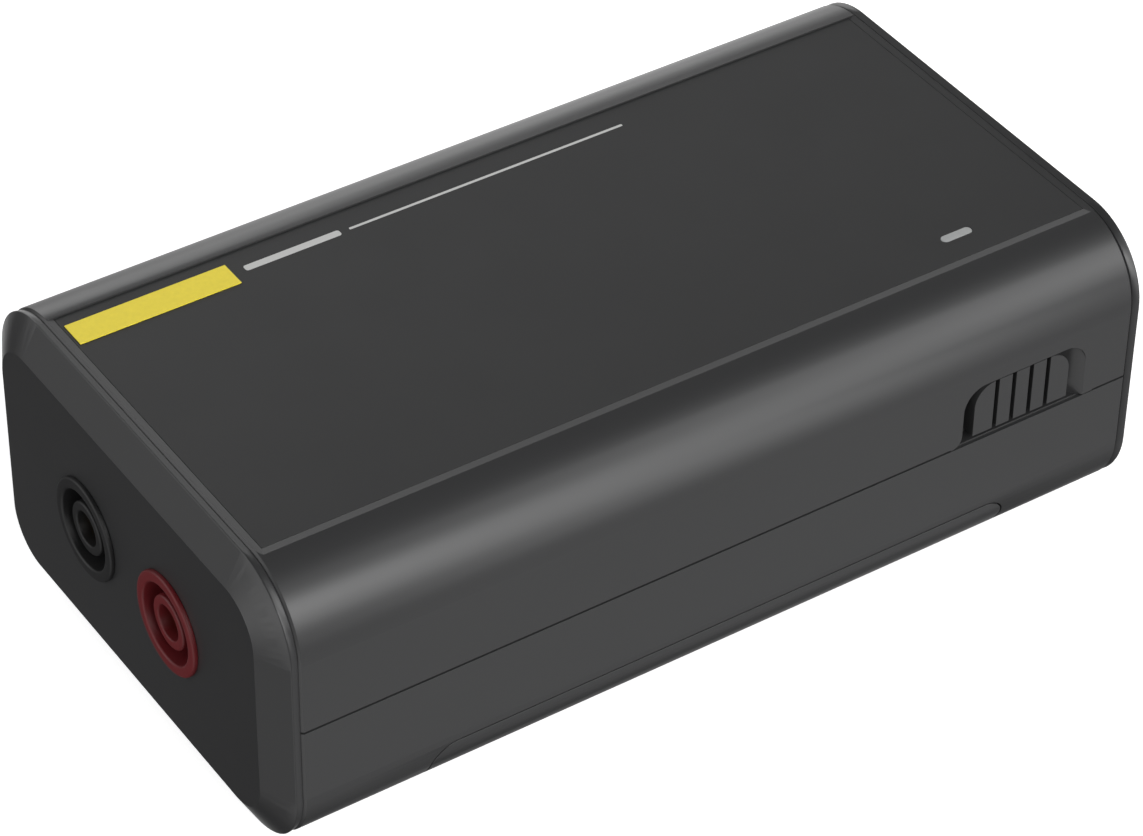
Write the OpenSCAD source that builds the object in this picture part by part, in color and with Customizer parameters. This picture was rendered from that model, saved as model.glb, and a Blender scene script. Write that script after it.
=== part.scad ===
// Box-type differential probe for an oscilloscope: two shrouded input sockets in the front end cap,
// a bayonet output jack and a power inlet in the rear one, and four AA cells behind a door underneath.
// +X runs from the input end to the output end, the switch is in the -Y side and +Z is up.
// The origin is on the plane the rubber feet stand on, below the middle of the overall length.

/* [Case] */
// Width of the case across its long sides
case_w = 64; // [63:0.5:66]
// Height of the case without its feet
case_h = 38.5; // [38:0.5:41]
// Length of the two shells between the end caps
case_l = 111; // [110.5:0.5:113]
// Radius of the four long edges of the case
edge_r = 9.6; // [9.2:0.1:10]
// Wall thickness of the two shells
wall = 2.2; // [2:0.1:2.4]
// Height of the split between the shells above the underside
split_z = 19.4; // [19:0.1:20]

/* [End caps] */
// Depth of the bevel round each end face
bevel_d = 2.15; // [2:0.05:2.6]
// How far the flat end face lies inside the case sides
bevel_in = 4.1; // [3.5:0.1:4.4]
// Width of each cap's rim, from its seam to its bevel
cap_rim = 0.95; // [0.7:0.05:1.2]

/* [Inputs] */
// Distance between the centres of the two input sockets
socket_pitch = 18.4; // [18:0.1:20]
// Height of the input sockets above the underside
socket_z = 19.4; // [18.4:0.1:19.6]
// Diameter of the socket flange on the end face
socket_flange_d = 12.6; // [12.2:0.1:13.4]
// Diameter of the plug hole in each contact sleeve
plug_d = 4; // [3.9:0.1:4]

/* [Switch] */
// Travel of the slide switch
switch_travel = 1.4; // [1:0.1:1.5]
// Number of grooves between the ribs of the switch knob
groove_count = 4; // [3:1:4]

/* [Battery door] */
// Length of the battery door
door_l = 78; // [77:0.5:79]
// Height of the door's turned-up edges on the case sides
door_h = 8.4; // [8:0.1:9.2]

/* [Hidden] */
$fn = 96;

shell_grey = [0.24, 0.24, 0.25];
cap_grey = [0.21, 0.21, 0.22];
gap = 0.2;              // visible gap between parts that lift or slide
snug = 0.05;            // clearance between parts that only locate each other
far = 300;              // larger than the whole part
seam_chamfer = 0.3;     // small chamfer of the shells at a seam
rim_fall = 0.2;         // how far an end cap's rim lies lower at the seam
split_groove = 0.3;     // height of the shadow line along the split
split_groove_d = 0.5;   // its depth

foot_d = 7;
foot_proud = 0.8;       // how far the feet stand below the underside
foot_h = 1.8;
foot_x = 45.5;
foot_y = 9;

half_l = case_l / 2;
front_x = -half_l - cap_rim - bevel_d;
rear_x = half_l + cap_rim + bevel_d;
face_t = 2.2;           // thickness of the end faces
pocket_in = 5;          // inset of the hollow behind each end face
lip_t = 1.5;            // wall of the lip that plugs an end cap into the shells
lip_l = 3.5;
rib_h = 0.8;            // rib round the lip that the shells trap
rib_w = 1;
rib_x = 2;              // centre of the rib, measured in from the seam

tongue_t = 1;           // locating tongue of the bottom shell along the split
tongue_h = 1.3;

label_x = half_l - 1.1;
label_y = [-23, 22.5];
label_t = 0.3;
label_sink = 0.2;       // label surface below the top of the case
label_top = case_h - label_sink;
rim_run = [0.95, 3];    // run of the rim's slope down to the label, along x and along y
badge_x = [-54, -33.6];
badge_y = [16.9, 20.7];
badge_t = 0.12;

lamp_x = 39.2;
lamp_y = -19;
lamp_l = 4.3;
lamp_w = 1.3;

board_z = 20.5;
board_t = 1.6;
board_top = board_z + board_t;
board_x = [-28, 50];
board_y = 25.5;
deck_z = 17.2;          // underside of the deck above the cells
deck_t = 1.2;
bay_x = 28.5;           // inner face of the bulkheads at the ends of the cells
bulkhead_t = 1.6;
standoff_x = 24;
standoff_y = 21;

case_screw_x = 48;
case_screw_y = 19.5;
case_screw_head_z = 9;  // bottom of the screw heads, deep in their wells
case_screw_l = 18;
m3 = 3;
head_d = 5.6;
head_h = 1.8;
boss_d = 6.4;

door_screw_x = 34.5;
door_screw_l = 10;
door_pad_t = 4;

recess_x = [31.6, 49.1];
recess_top = 27.3;
recess_d = 2.2;
recess_r = 3;
recess_wall = 1.4;
recess_flare = 1.5;
knob_x = [33.2, 46.7];
knob_y = -case_w / 2 + 0.1;
knob_rise = 0.8;        // free height between the split and the underside of the knob
groove_w = 0.6;
groove_d = 1.3;
groove_pitch = 2.45;
first_groove = 36.25;
stem_x = 39.5;          // middle of the stem and of the actuator

cell_d = 14.2;
cell_l = 50.5;
cell_pitch = 14.6;
cell_z = wall + cell_d / 2 + snug;
nub_d = 5.5;
nub_h = 1.2;
contact_t = 0.4;
cell_tip = bay_x - contact_t - snug;

socket_body_d = 11;
socket_body_l = 22;
socket_flange_t = 0.6;
shroud_gap = [6.6, 9.8];  // inner and outer diameter of the ring gap a plug's shroud enters
shroud_depth = 17;
sleeve_d = 5;
sleeve_l = 17;
pillar_sink = 0.4;      // how far the middle pillar lies behind the flange
sleeve_sink = 2.4;      // how far the contact sleeve lies behind the pillar's face
pillar_bore_d = 4.3;    // hole in the pillar's face, a little wider than the plug's pin
post_d = 3;
post_l = 4;
socket_tail = front_x + socket_body_l;  // inner end of a socket's body
post_tip = socket_tail + post_l;

jack_y = -10;
jack_z = 15;
jack_barrel_d = 9.6;
jack_bore_d = 8.1;
jack_l = 10.4;          // length of the jack outside the end face
jack_grip_l = 4.2;      // plain part of the barrel in front of its lugs
middle_x = (front_x - socket_flange_t + rear_x + jack_l) / 2;
inlet_y = 10;
inlet_w = 8.94;
inlet_h = 3.26;
inlet_z = board_top + inlet_h / 2;
inlet_l = 7.4;

// ---------- helpers ----------

// Moves the case so that its feet stand on z = 0 and its overall length is centred on x = 0
module stand() { translate([-middle_x, 0, foot_proud]) children(); }

// Turns a solid drawn along +Z so that it runs along +X, starting at x
module along_x(x) { translate([x, 0, 0]) rotate([90, 0, 90]) children(); }

// Turns a solid drawn along +Z so that it runs along +Y, starting at y, with its own x kept
module along_y(y) { translate([0, y, 0]) rotate([-90, 0, 0]) mirror([0, 1, 0]) children(); }

// Cross-section of the case, drawn that far inside its outer surface
module section(inset) {
    flat_w = case_w - 2 * edge_r;
    flat_h = case_h - 2 * edge_r;
    translate([0, case_h / 2]) {
        square([case_w - 2 * inset, flat_h], center = true);
        square([flat_w, case_h - 2 * inset], center = true);
        for (sx = [-1, 1], sy = [-1, 1])
            translate([sx * flat_w / 2, sy * flat_h / 2]) circle(edge_r - inset);
    }
}

// Straight bar of that section from x0 to x1
module bar(x0, x1, inset) { along_x(x0) linear_extrude(x1 - x0) section(inset); }

// Bar that narrows from inset in0 to inset in1 over length len, starting at x
module taper(x, len, in0, in1) {
    flat_w = case_w - 2 * edge_r;
    flat_h = case_h - 2 * edge_r;
    along_x(x) translate([0, case_h / 2, 0]) {
        translate([0, flat_h / 2, 0]) rotate([90, 0, 0])
            linear_extrude(flat_h) trapezoid(case_w / 2 - in0, case_w / 2 - in1, len);
        translate([-flat_w / 2, 0, 0]) rotate([90, 0, 90])
            linear_extrude(flat_w) trapezoid(case_h / 2 - in0, case_h / 2 - in1, len);
        for (sx = [-1, 1], sy = [-1, 1]) translate([sx * flat_w / 2, sy * flat_h / 2, 0])
            cylinder(h = len, r1 = edge_r - in0, r2 = edge_r - in1);
    }
}

module trapezoid(half0, half1, len) { polygon([[-half0, 0], [half0, 0], [half1, len], [-half1, len]]); }

// Ring of the section between two insets
module ring(x0, x1, outer_in, inner_in) {
    difference() {
        bar(x0, x1, outer_in);
        bar(x0 - 1, x1 + 1, inner_in);
    }
}

// Slot outline of overall length l and width w
module slot(l, w) {
    square([l - w, w], center = true);
    for (s = [-1, 1]) translate([s * (l - w) / 2, 0]) circle(w / 2);
}

// Box given by its low and high corners
module block(low, high) { translate(low) cube(high - low); }

// Outside of the two shells together, with a small chamfer at each end
module shells_outside() {
    bar(-half_l + seam_chamfer, half_l - seam_chamfer, 0);
    taper(half_l - seam_chamfer, seam_chamfer, 0, seam_chamfer);
    mirror([1, 0, 0]) taper(half_l - seam_chamfer, seam_chamfer, 0, seam_chamfer);
}

// Everything above or below the height z
module above(z) { block([-far, -far, z], [far, far, far]); }
module below(z) { block([-far, -far, -far], [far, far, z]); }

// Shadow line cut into both shells along the split
module split_line() {
    intersection() {
        block([-far, -far, split_z - split_groove / 2], [far, far, split_z + split_groove / 2]);
        ring(-half_l - 1, half_l + 1, -2, split_groove_d);
    }
}

// Groove in the shells that traps the rib of an end cap
module rib_groove() {
    for (s = [0, 1]) mirror([s, 0, 0])
        bar(half_l - rib_x - rib_w / 2 - snug, half_l - rib_x + rib_w / 2 + snug, wall - rib_h + 0.1);
}

module at_corners(x, y) {
    for (sx = [-1, 1], sy = [-1, 1]) translate([sx * x, sy * y, 0]) children();
}

// Side view of the switch recess, drawn in x and z
module recess_outline() {
    w = recess_x[1] - recess_x[0];
    translate([recess_x[0], split_z - 1]) square([w, recess_top - recess_r - split_z + 1]);
    translate([recess_x[0] + recess_r, split_z]) square([w - 2 * recess_r, recess_top - split_z]);
    for (x = [recess_x[0] + recess_r, recess_x[1] - recess_r])
        translate([x, recess_top - recess_r]) circle(recess_r);
    difference() {
        translate([recess_x[0] - recess_flare, split_z - 1])
            square([recess_flare + 1, recess_flare + 1]);
        translate([recess_x[0] - recess_flare, split_z + recess_flare]) circle(recess_flare);
    }
}

// ---------- case ----------

module top_shell() {
    stand() color(shell_grey) difference() {
        union() {
            difference() {
                intersection() {
                    shells_outside();
                    above(split_z);
                }
                bar(-far, far, wall);
                intersection() {
                    bar(-far, far, wall - tongue_t - 0.1);
                    below(split_z + tongue_h + 0.1);
                }
                rib_groove();
                split_line();
            }
            at_corners(case_screw_x, case_screw_y) screw_boss();
            block([recess_x[0] - 1.5, -case_w / 2, split_z], [recess_x[1] + 1.4, knob_back(), 28.6]);
            block([-half_l + 8, -0.8, case_h - wall - 3], [half_l - 8, 0.8, case_h - wall + 0.5]);
        }
        // recess for the switch knob and the slot for its stem
        switch_recess();
        block([stem_x - 2.3 - switch_travel, -case_w / 2, split_z - 1],
              [stem_x + 2.3, knob_back() + 1, split_z + 4.9]);
        // recess for the label, slot for the light pipe
        block([-label_x, label_y[0], label_top - label_t], [label_x, label_y[1], case_h + 1]);
        label_slopes();
        translate([lamp_x, lamp_y, case_h - 6]) linear_extrude(10) slot(lamp_l, lamp_w);
    }
}

// Space above the rim round the label: it falls gently towards the label on three sides
module label_slopes() {
    up = 3 * label_sink;
    translate([0, 0, label_top]) intersection() {
        translate([0, case_w / 2, 0]) rotate([90, 0, 0])
            linear_extrude(case_w) trapezoid(label_x, label_x + 3 * rim_run[0], up);
        translate([-half_l - 1, 0, 0]) rotate([90, 0, 90])
            linear_extrude(case_l + 2) polygon([
                [label_y[0], 0],
                [label_y[1], 0],
                [label_y[1], up],
                [label_y[0] - 3 * rim_run[1], up]
            ]);
    }
}

// Space of the switch recess, whose rear end slopes up to the surface at 45 degrees
module switch_recess() {
    outside = -case_w / 2 - 1;
    floor_y = -case_w / 2 + recess_d;
    intersection() {
        along_y(outside) linear_extrude(recess_d + 1) recess_outline();
        translate([0, 0, split_z - 2]) linear_extrude(20) polygon([
            [recess_x[0] - 5, outside],
            [recess_x[1] + 1, outside],
            [recess_x[1] - recess_d, floor_y],
            [recess_x[0] - 5, floor_y]
        ]);
    }
}

// Inner face of the wall behind the switch recess
function knob_back() = -case_w / 2 + recess_d + recess_wall;

module screw_boss() {
    difference() {
        translate([0, 0, split_z]) cylinder(d = boss_d, h = case_h - wall - split_z + 0.5);
        translate([0, 0, split_z - 1]) cylinder(d = m3 + 2 * snug, h = 10);
    }
}

module bottom_shell() {
    stand() color(shell_grey) difference() {
        union() {
            difference() {
                union() {
                    intersection() {
                        shells_outside();
                        below(split_z);
                    }
                    intersection() {
                        ring(-half_l + lip_l + 1, half_l - lip_l - 1, wall - tongue_t, wall + 0.5);
                        below(split_z + tongue_h);
                    }
                }
                bar(-far, far, wall);
                rib_groove();
                split_line();
                block([recess_x[0] - 2, -far, split_z], [recess_x[1] + 1.8, 0, far]);
            }
            battery_bay();
            at_corners(case_screw_x, case_screw_y)
                translate([0, 0, 1]) cylinder(d = boss_d + 1.2, h = split_z - 1);
            block([recess_x[0] - 1.5, -case_w / 2 + 1, split_z - 2.4],
                  [recess_x[1] + 1.2, knob_back(), split_z]);
            translate([42, 3, 1]) cylinder(d = 4.4, h = board_z - 1);
        }
        door_outline(gap);
        at_corners(case_screw_x, case_screw_y) {
            translate([0, 0, -1]) cylinder(d = head_d + 0.6, h = case_screw_head_z + 1 + head_h);
            translate([0, 0, -1]) cylinder(d = m3 + 0.4, h = split_z + 2);
        }
        at_corners(foot_x, foot_y) translate([0, 0, -1])
            cylinder(d = foot_d + 0.1, h = foot_h - foot_proud + 1);
    }
}

// Bulkheads, deck, board standoffs and door screw bosses of the battery bay
module battery_bay() {
    inner_y = case_w / 2 - wall;
    difference() {
        union() {
            intersection() {
                bar(-bay_x - bulkhead_t, bay_x + bulkhead_t, wall - 0.2);
                union() {
                    for (s = [-1, 1])
                        block_x(s, bay_x, bay_x + bulkhead_t, inner_y + 1, wall + gap, deck_z + deck_t);
                    block([-bay_x - bulkhead_t, -inner_y - 1, deck_z],
                          [bay_x + bulkhead_t, inner_y + 1, deck_z + deck_t]);
                }
            }
            for (y = [-cell_pitch, 0, cell_pitch])
                block([-bay_x, y - 0.5, deck_z - 2.8], [bay_x, y + 0.5, deck_z]);
            at_corners(standoff_x, standoff_y) translate([0, 0, deck_z])
                cylinder(d = 5.2, h = board_z - deck_z);
            for (s = [-1, 1]) {
                block_x(s, bay_x + bulkhead_t - 0.5, door_screw_x, 2.4, door_pad_t, deck_z + deck_t);
                translate([s * door_screw_x, 0, door_pad_t])
                    cylinder(d = boss_d, h = deck_z + deck_t - door_pad_t);
            }
        }
        at_corners(standoff_x, standoff_y) translate([0, 0, deck_z - 1]) cylinder(d = 2.5 + 0.06, h = 10);
        for (s = [-1, 1]) translate([s * door_screw_x, 0, 0]) cylinder(d = m3 + 2 * snug, h = 15);
    }
}

// Block on one side of the middle, from x0 out to x1, centred across the case
module block_x(s, x0, x1, half_y, z0, z1) {
    block([min(s * x0, s * x1), -half_y, z0], [max(s * x0, s * x1), half_y, z1]);
}

// Solid that the door fills out of the case, grown by extra all round
module door_outline(extra) {
    half = door_l / 2 + extra;
    top = door_h + extra;
    r = 3 + extra;
    difference() {
        along_y(-case_w) linear_extrude(2 * case_w) {
            translate([-half, -5]) square([2 * half, top + 5 - r]);
            translate([-half + r, 0]) square([2 * (half - r), top]);
            for (s = [-1, 1]) translate([s * (half - r), top - r]) circle(r);
        }
        bar(-far, far, wall + extra);
    }
}

module battery_door() {
    stand() color(shell_grey) difference() {
        union() {
            intersection() {
                door_outline(0);
                bar(-door_l, door_l, 0);
            }
            for (s = [-1, 1]) translate([s * door_screw_x, 0, wall - 0.5])
                cylinder(d = 8.6, h = door_pad_t - wall + 0.5);
        }
        for (s = [-1, 1]) translate([s * door_screw_x, 0, -1]) {
            cylinder(d = head_d + 0.4, h = 1 + head_h + 0.2);
            cylinder(d = m3 + 0.4, h = 10);
        }
        finger_grooves();
    }
}

// Shallow grip grooves across the underside of the door
module finger_grooves() {
    for (i = [0:4]) translate([-6 + 3 * i, 0, -0.4]) rotate([90, 0, 0])
        translate([0, 0, -10]) cylinder(r = 0.8, h = 20);
}

// Outside of an end cap: rim that rises from the seam, then the bevel, running out along +X
module cap_outside() {
    taper(half_l, cap_rim, rim_fall, 0);
    taper(half_l + cap_rim, bevel_d, 0, bevel_in);
}

// End cap running out along +X, hollow behind its face, with its lip and rib
module end_cap() {
    difference() {
        union() {
            cap_outside();
            bar(half_l - lip_l, half_l, wall + 0.15);
            bar(half_l - rib_x - rib_w / 2, half_l - rib_x + rib_w / 2, wall + 0.15 - rib_h);
        }
        bar(half_l - lip_l - 1, half_l, wall + 0.15 + lip_t);
        bar(half_l - 1, half_l + cap_rim + bevel_d - face_t, pocket_in);
    }
}

module front_end_cap() {
    stand() color(cap_grey) difference() {
        mirror([1, 0, 0]) end_cap();
        for (s = [-1, 1]) translate([0, s * socket_pitch / 2, socket_z])
            along_x(front_x - 1) cylinder(d = socket_body_d + 0.1, h = 10);
    }
}

module rear_end_cap() {
    stand() color(cap_grey) difference() {
        end_cap();
        translate([0, jack_y, jack_z]) along_x(half_l) cylinder(d = 9.6, h = 10);
        translate([0, inlet_y, inlet_z]) {
            along_x(half_l) linear_extrude(10) slot(inlet_w + 0.5, inlet_h + 0.5);
            along_x(rear_x - 1) linear_extrude(2) slot(12.6, 7);
        }
    }
}

module top_label() {
    stand() color([0.2, 0.2, 0.21]) difference() {
        block([-label_x + snug, label_y[0] + snug, label_top - label_t],
              [label_x - snug, label_y[1] - snug, label_top]);
        translate([lamp_x, lamp_y, 0]) linear_extrude(far) slot(lamp_l, lamp_w);
    }
}

module name_badge() {
    stand() color([0.95, 0.83, 0.2])
        block([badge_x[0], badge_y[0], label_top], [badge_x[1], badge_y[1], label_top + badge_t]);
}

module light_pipe() {
    stand() color([0.85, 0.86, 0.86]) translate([lamp_x, lamp_y, 0]) {
        translate([0, 0, 26]) linear_extrude(label_top - 26) slot(lamp_l - 0.1, lamp_w - 0.1);
        translate([0, 0, 33]) linear_extrude(case_h - wall - 33) slot(lamp_l + 2, lamp_w + 2);
    }
}

module rubber_feet() {
    stand() color([0.1, 0.1, 0.1]) at_corners(foot_x, foot_y) translate([0, 0, -foot_proud]) {
        cylinder(d1 = foot_d - 0.8, d2 = foot_d, h = 0.4);
        translate([0, 0, 0.4]) cylinder(d = foot_d, h = foot_h - 0.4);
    }
}

// Cross-head screw, head down, with its shank pointing up along +Z from z = 0
module screw(length, shank_d, d, h) {
    difference() {
        union() {
            translate([0, 0, -h]) cylinder(d1 = d - 0.8, d2 = d, h = 0.4);
            translate([0, 0, 0.4 - h]) cylinder(d = d, h = h - 0.4);
            cylinder(d = shank_d, h = length);
        }
        for (a = [0, 90]) rotate([0, 0, a])
            translate([-d * 0.28, -0.35, -h - 1]) cube([d * 0.56, 0.7, 1.9]);
    }
}

module case_screws() {
    stand() color("silver") at_corners(case_screw_x, case_screw_y)
        translate([0, 0, case_screw_head_z + head_h]) screw(case_screw_l - 2, m3, head_d, head_h);
}

module door_screws() {
    stand() color("silver") for (s = [-1, 1])
        translate([s * door_screw_x, 0, head_h + 0.2]) screw(door_screw_l, m3, head_d, head_h);
}

// ---------- inputs ----------

// Shrouded socket running in along +X from the end face
module input_socket(side) {
    translate([0, side * socket_pitch / 2, socket_z]) difference() {
        union() {
            along_x(front_x - socket_flange_t) {
                cylinder(d1 = socket_flange_d - 0.7, d2 = socket_flange_d, h = 0.35);
                translate([0, 0, 0.35]) cylinder(d = socket_flange_d, h = socket_flange_t - 0.35);
                cylinder(d = socket_body_d, h = socket_body_l + socket_flange_t);
            }
        }
        along_x(front_x - socket_flange_t - 1) difference() {
            cylinder(d = shroud_gap[1], h = shroud_depth + 1);
            cylinder(d = shroud_gap[0], h = shroud_depth + 2);
        }
        along_x(front_x - socket_flange_t - 1) cylinder(d = shroud_gap[0] + 0.2, h = 1 + pillar_sink);
        along_x(front_x - socket_flange_t) {
            cylinder(d = pillar_bore_d, h = pillar_sink + sleeve_sink + 1);
            translate([0, 0, pillar_sink + sleeve_sink]) cylinder(d = sleeve_d, h = sleeve_l);
        }
        along_x(front_x) cylinder(d = post_d + 0.04, h = far);
    }
}

module input_socket_red() { stand() color([0.55, 0.08, 0.1]) input_socket(-1); }
module input_socket_black() { stand() color([0.1, 0.1, 0.11]) input_socket(1); }

module input_contact_sleeves() {
    x = front_x - socket_flange_t + pillar_sink + sleeve_sink;
    stand() color("gold") for (s = [-1, 1]) translate([0, s * socket_pitch / 2, socket_z]) difference() {
        union() {
            along_x(x) cylinder(d = sleeve_d - 0.04, h = sleeve_l);
            along_x(x + sleeve_l - 0.5) cylinder(d = post_d, h = post_tip - x - sleeve_l + 0.5);
        }
        along_x(x - 1) cylinder(d = plug_d, h = sleeve_l);
    }
}

module input_socket_nuts() {
    x = front_x + face_t;
    stand() color("silver") for (s = [-1, 1]) translate([0, s * socket_pitch / 2, socket_z]) difference() {
        along_x(x) cylinder(d = 16.2, h = 3, $fn = 6);
        along_x(x - 1) cylinder(d = socket_body_d + 0.04, h = 5);
    }
}

// Wire from a socket's solder post up and over on to the board's front edge
module input_wire(side) {
    bend_r = 3.4;
    x = post_tip - 1.4;
    translate([x + bend_r, side * socket_pitch / 2, board_top]) rotate([90, 0, 0])
        rotate_extrude(angle = 180) translate([bend_r, 0]) circle(0.8);
    translate([x, side * socket_pitch / 2, socket_z + post_d / 2])
        cylinder(r = 0.8, h = board_top - socket_z - post_d / 2);
}

module input_wire_red() { stand() color([0.7, 0.1, 0.1]) input_wire(-1); }
module input_wire_black() { stand() color([0.08, 0.08, 0.08]) input_wire(1); }

// ---------- circuit board ----------

module main_board() {
    stand() color([0.05, 0.3, 0.15]) difference() {
        union() {
            block([board_x[0], -board_y, board_z], [44.5, board_y, board_top]);
            block([44, -15.8, board_z], [board_x[1], 15.8, board_top]);
            block([49, inlet_y - 5.5, board_z], [rear_x - face_t - 0.6, inlet_y + 5.5, board_top]);
        }
        at_corners(standoff_x, standoff_y) cylinder(d = 2.7, h = far);
        // isolation slot between the two divider chains
        translate([-12, 0, 0]) cube([26, 2, far], center = true);
    }
}

module board_screws() {
    stand() color("silver") at_corners(standoff_x, standoff_y) translate([0, 0, board_top])
        mirror([0, 0, 1]) screw(4.6, 2.5, 4.5, 1.5);
}

// Axial resistor lying along X with its leads bent down on to the board
module resistor(l, d) {
    lead = 0.35;
    lift = d / 2 + 0.3;
    translate([-l / 2, 0, lift]) rotate([0, 90, 0]) cylinder(d = d, h = l);
    translate([-l / 2 - 2, 0, lift]) rotate([0, 90, 0]) cylinder(r = lead, h = l + 4);
    for (s = [-1, 1]) translate([s * (l / 2 + 2), 0, 0]) cylinder(r = lead, h = lift + lead);
}

module divider_resistors() {
    stand() color([0.35, 0.5, 0.65]) for (s = [-1, 1], i = [0:3])
        translate([-10.5, s * (4.6 + 4.6 * i), board_top]) resistor(11, 3.4);
}

module trimmer_capacitors() {
    stand() color([0.85, 0.75, 0.4]) for (s = [-1, 1]) translate([0.5, s * 8, board_top]) difference() {
        union() {
            cylinder(d = 6, h = 2.6);
            cylinder(d = 4, h = 3.4);
        }
        translate([-1.8, -0.4, 2.8]) cube([3.6, 0.8, 1]);
    }
}

module shield_can() {
    low = [5, -15, board_top];
    high = [31, 15, board_top + 7.5];
    t = 0.4;
    stand() color("silver") difference() {
        block(low, high);
        block(low + [t, t, -1], high - [t, t, t]);
        for (x = [10:4:26], y = [-8:8:8]) translate([x, y, 0]) cylinder(d = 1.4, h = far);
    }
}

// Small outline chip with gull-wing legs
module chip(l, w, legs) {
    h = 1.5;
    translate([-l / 2, -w / 2, 0.2]) cube([l, w, h]);
    for (s = [-1, 1], i = [0:legs - 1])
        translate([-l / 2 + l * (i + 0.5) / legs - 0.2, min(s * (w / 2 - 0.3), s * (w / 2 + 1)), 0]) {
            cube([0.4, 1.3, 0.5]);
        }
}

module amplifier_chips() {
    stand() color([0.12, 0.12, 0.12]) for (p = [[12, -7], [12, 7], [23, 0]])
        translate([p[0], p[1], board_top]) chip(5, 4, 4);
}

module smoothing_capacitors() {
    stand() color([0.2, 0.25, 0.45]) for (y = [0, 8]) translate([36, y, board_top])
        cylinder(d = 6.3, h = 7.7);
}

module power_inductor() {
    stand() color([0.3, 0.3, 0.3]) translate([37, 18.5, board_top]) difference() {
        translate([-3.6, -3.6, 0]) cube([7.2, 7.2, 4]);
        translate([0, 0, 3.5]) cylinder(d = 5, h = 1);
    }
}

module indicator_led() {
    stand() color([0.9, 0.9, 0.85]) translate([lamp_x, lamp_y, board_top]) {
        translate([-1.7, -1.4, 0]) cube([3.4, 2.8, 1.2]);
        translate([0, 0, 1.2]) cylinder(d1 = 2.4, d2 = 1.6, h = 0.7);
    }
}

// ---------- slide switch ----------

module knob_outline() {
    low_z = split_z + knob_rise;
    top_z = recess_top - gap;
    r = recess_r - gap;
    w = knob_x[1] - knob_x[0];
    translate([knob_x[0], low_z]) square([w, top_z - low_z - r]);
    translate([knob_x[0] + r, low_z]) square([w - 2 * r, top_z - low_z]);
    for (x = [knob_x[0] + r, knob_x[1] - r]) translate([x, top_z - r]) circle(r);
}

module switch_knob() {
    inner = -case_w / 2 + recess_d;    // face of the recess the knob slides on
    low_z = split_z + gap;
    back = knob_back();
    stand() color(shell_grey) {
        difference() {
            along_y(knob_y) linear_extrude(inner - gap - knob_y) knob_outline();
            for (i = [0:groove_count - 1])
                block([first_groove + groove_pitch * i - groove_w / 2, -far, low_z],
                      [first_groove + groove_pitch * i + groove_w / 2, knob_y + groove_d, far]);
        }
        block([stem_x - 2, inner - gap - 0.1, low_z], [stem_x + 2, back + gap + 0.1, split_z + 4.7]);
        block([stem_x - 3, back + gap, low_z], [stem_x + 3, back + gap + 1.2, split_z + 6.2]);
        for (s = [-1, 1]) block([stem_x + min(s * 0.9, s * 2.2), back + gap + 1, board_top + 0.7],
                                [stem_x + max(s * 0.9, s * 2.2), back + gap + 2.6, board_top + 2.6]);
    }
}

module switch_actuator() {
    back = knob_back();
    stand() color([0.9, 0.9, 0.88]) {
        block([stem_x - 0.8, back + 1.9, board_top + 1.1], [stem_x + 0.8, -24, board_top + 2.3]);
        block([stem_x - 1.6, -24.1, board_top + 0.8], [stem_x + 1.6, -22.4, board_top + 2.6]);
    }
}

module switch_housing() {
    low = [stem_x - 5, -24.8, board_top];
    high = [stem_x + 4.4, -20.8, board_top + 3.6];
    stand() color("silver") difference() {
        block(low, high);
        block([stem_x - 1.7 - switch_travel, -24.2, board_top + 0.7], [stem_x + 1.7, -22, board_top + 2.7]);
        block([stem_x - 0.9 - switch_travel, -26, board_top + 1], [stem_x + 0.9, -24, board_top + 2.4]);
    }
}

// ---------- battery ----------

// Runs its children for each of the four cells, turned end for end from one cell to the next
module each_cell() {
    for (i = [0:3]) translate([0, (i - 1.5) * cell_pitch, cell_z]) rotate([0, 0, 180 * (i % 2)]) children();
}

module battery_cells() {
    stand() color([0.3, 0.45, 0.3]) each_cell() {
        along_x(cell_tip - cell_l) cylinder(d = cell_d, h = cell_l - nub_h);
        along_x(cell_tip - nub_h - 0.1) cylinder(d = nub_d, h = nub_h + 0.1);
    }
}

module battery_contact_plates() {
    stand() color("silver") each_cell()
        block([bay_x - contact_t, -4.5, -4.5], [bay_x, 4.5, 4.5]);
}

module battery_leaf_springs() {
    touch = cell_tip - cell_l - snug;
    base = -bay_x;
    t = contact_t;
    stand() color("silver") each_cell() translate([0, 4, 0]) rotate([90, 0, 0]) linear_extrude(8) polygon([
        [base, -5], [base + t, -5], [base + t, 4.5], [touch - t, 1], [base + 2.5, -4], [base + 2.8, -4.2],
        [touch, 1], [base + t, 5.2], [base, 5.2]
    ]);
}

// ---------- output jack and power inlet ----------

module output_jack_body() {
    stand() color("silver") translate([0, jack_y, jack_z]) difference() {
        union() {
            along_x(rear_x) cylinder(d = 12.7, h = 1.8);
            along_x(rear_x) cylinder(d = jack_barrel_d + 0.4, h = jack_l - jack_grip_l);
            along_x(rear_x) cylinder(d = jack_barrel_d, h = jack_l);
            along_x(rear_x - 10.2) cylinder(d = 9.5, h = 10.3);
            for (s = [-1, 1]) translate([rear_x + jack_l - jack_grip_l - 1.1, 0, 0])
                rotate([s * 90, 0, 0]) cylinder(d = 1.9, h = 5.6);
        }
        along_x(rear_x + 1.6) cylinder(d = jack_bore_d, h = far);
        along_x(rear_x - 11) cylinder(d = 6.6, h = far);
    }
}

module output_jack_insulator() {
    stand() color("white") translate([0, jack_y, jack_z]) difference() {
        union() {
            along_x(rear_x - 10.2) cylinder(d = 6.56, h = 11.8);
            along_x(rear_x + 1.6) cylinder(d = 4.7, h = 5.2);
        }
        along_x(rear_x - 11) cylinder(d = 2.24, h = far);
    }
}

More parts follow.
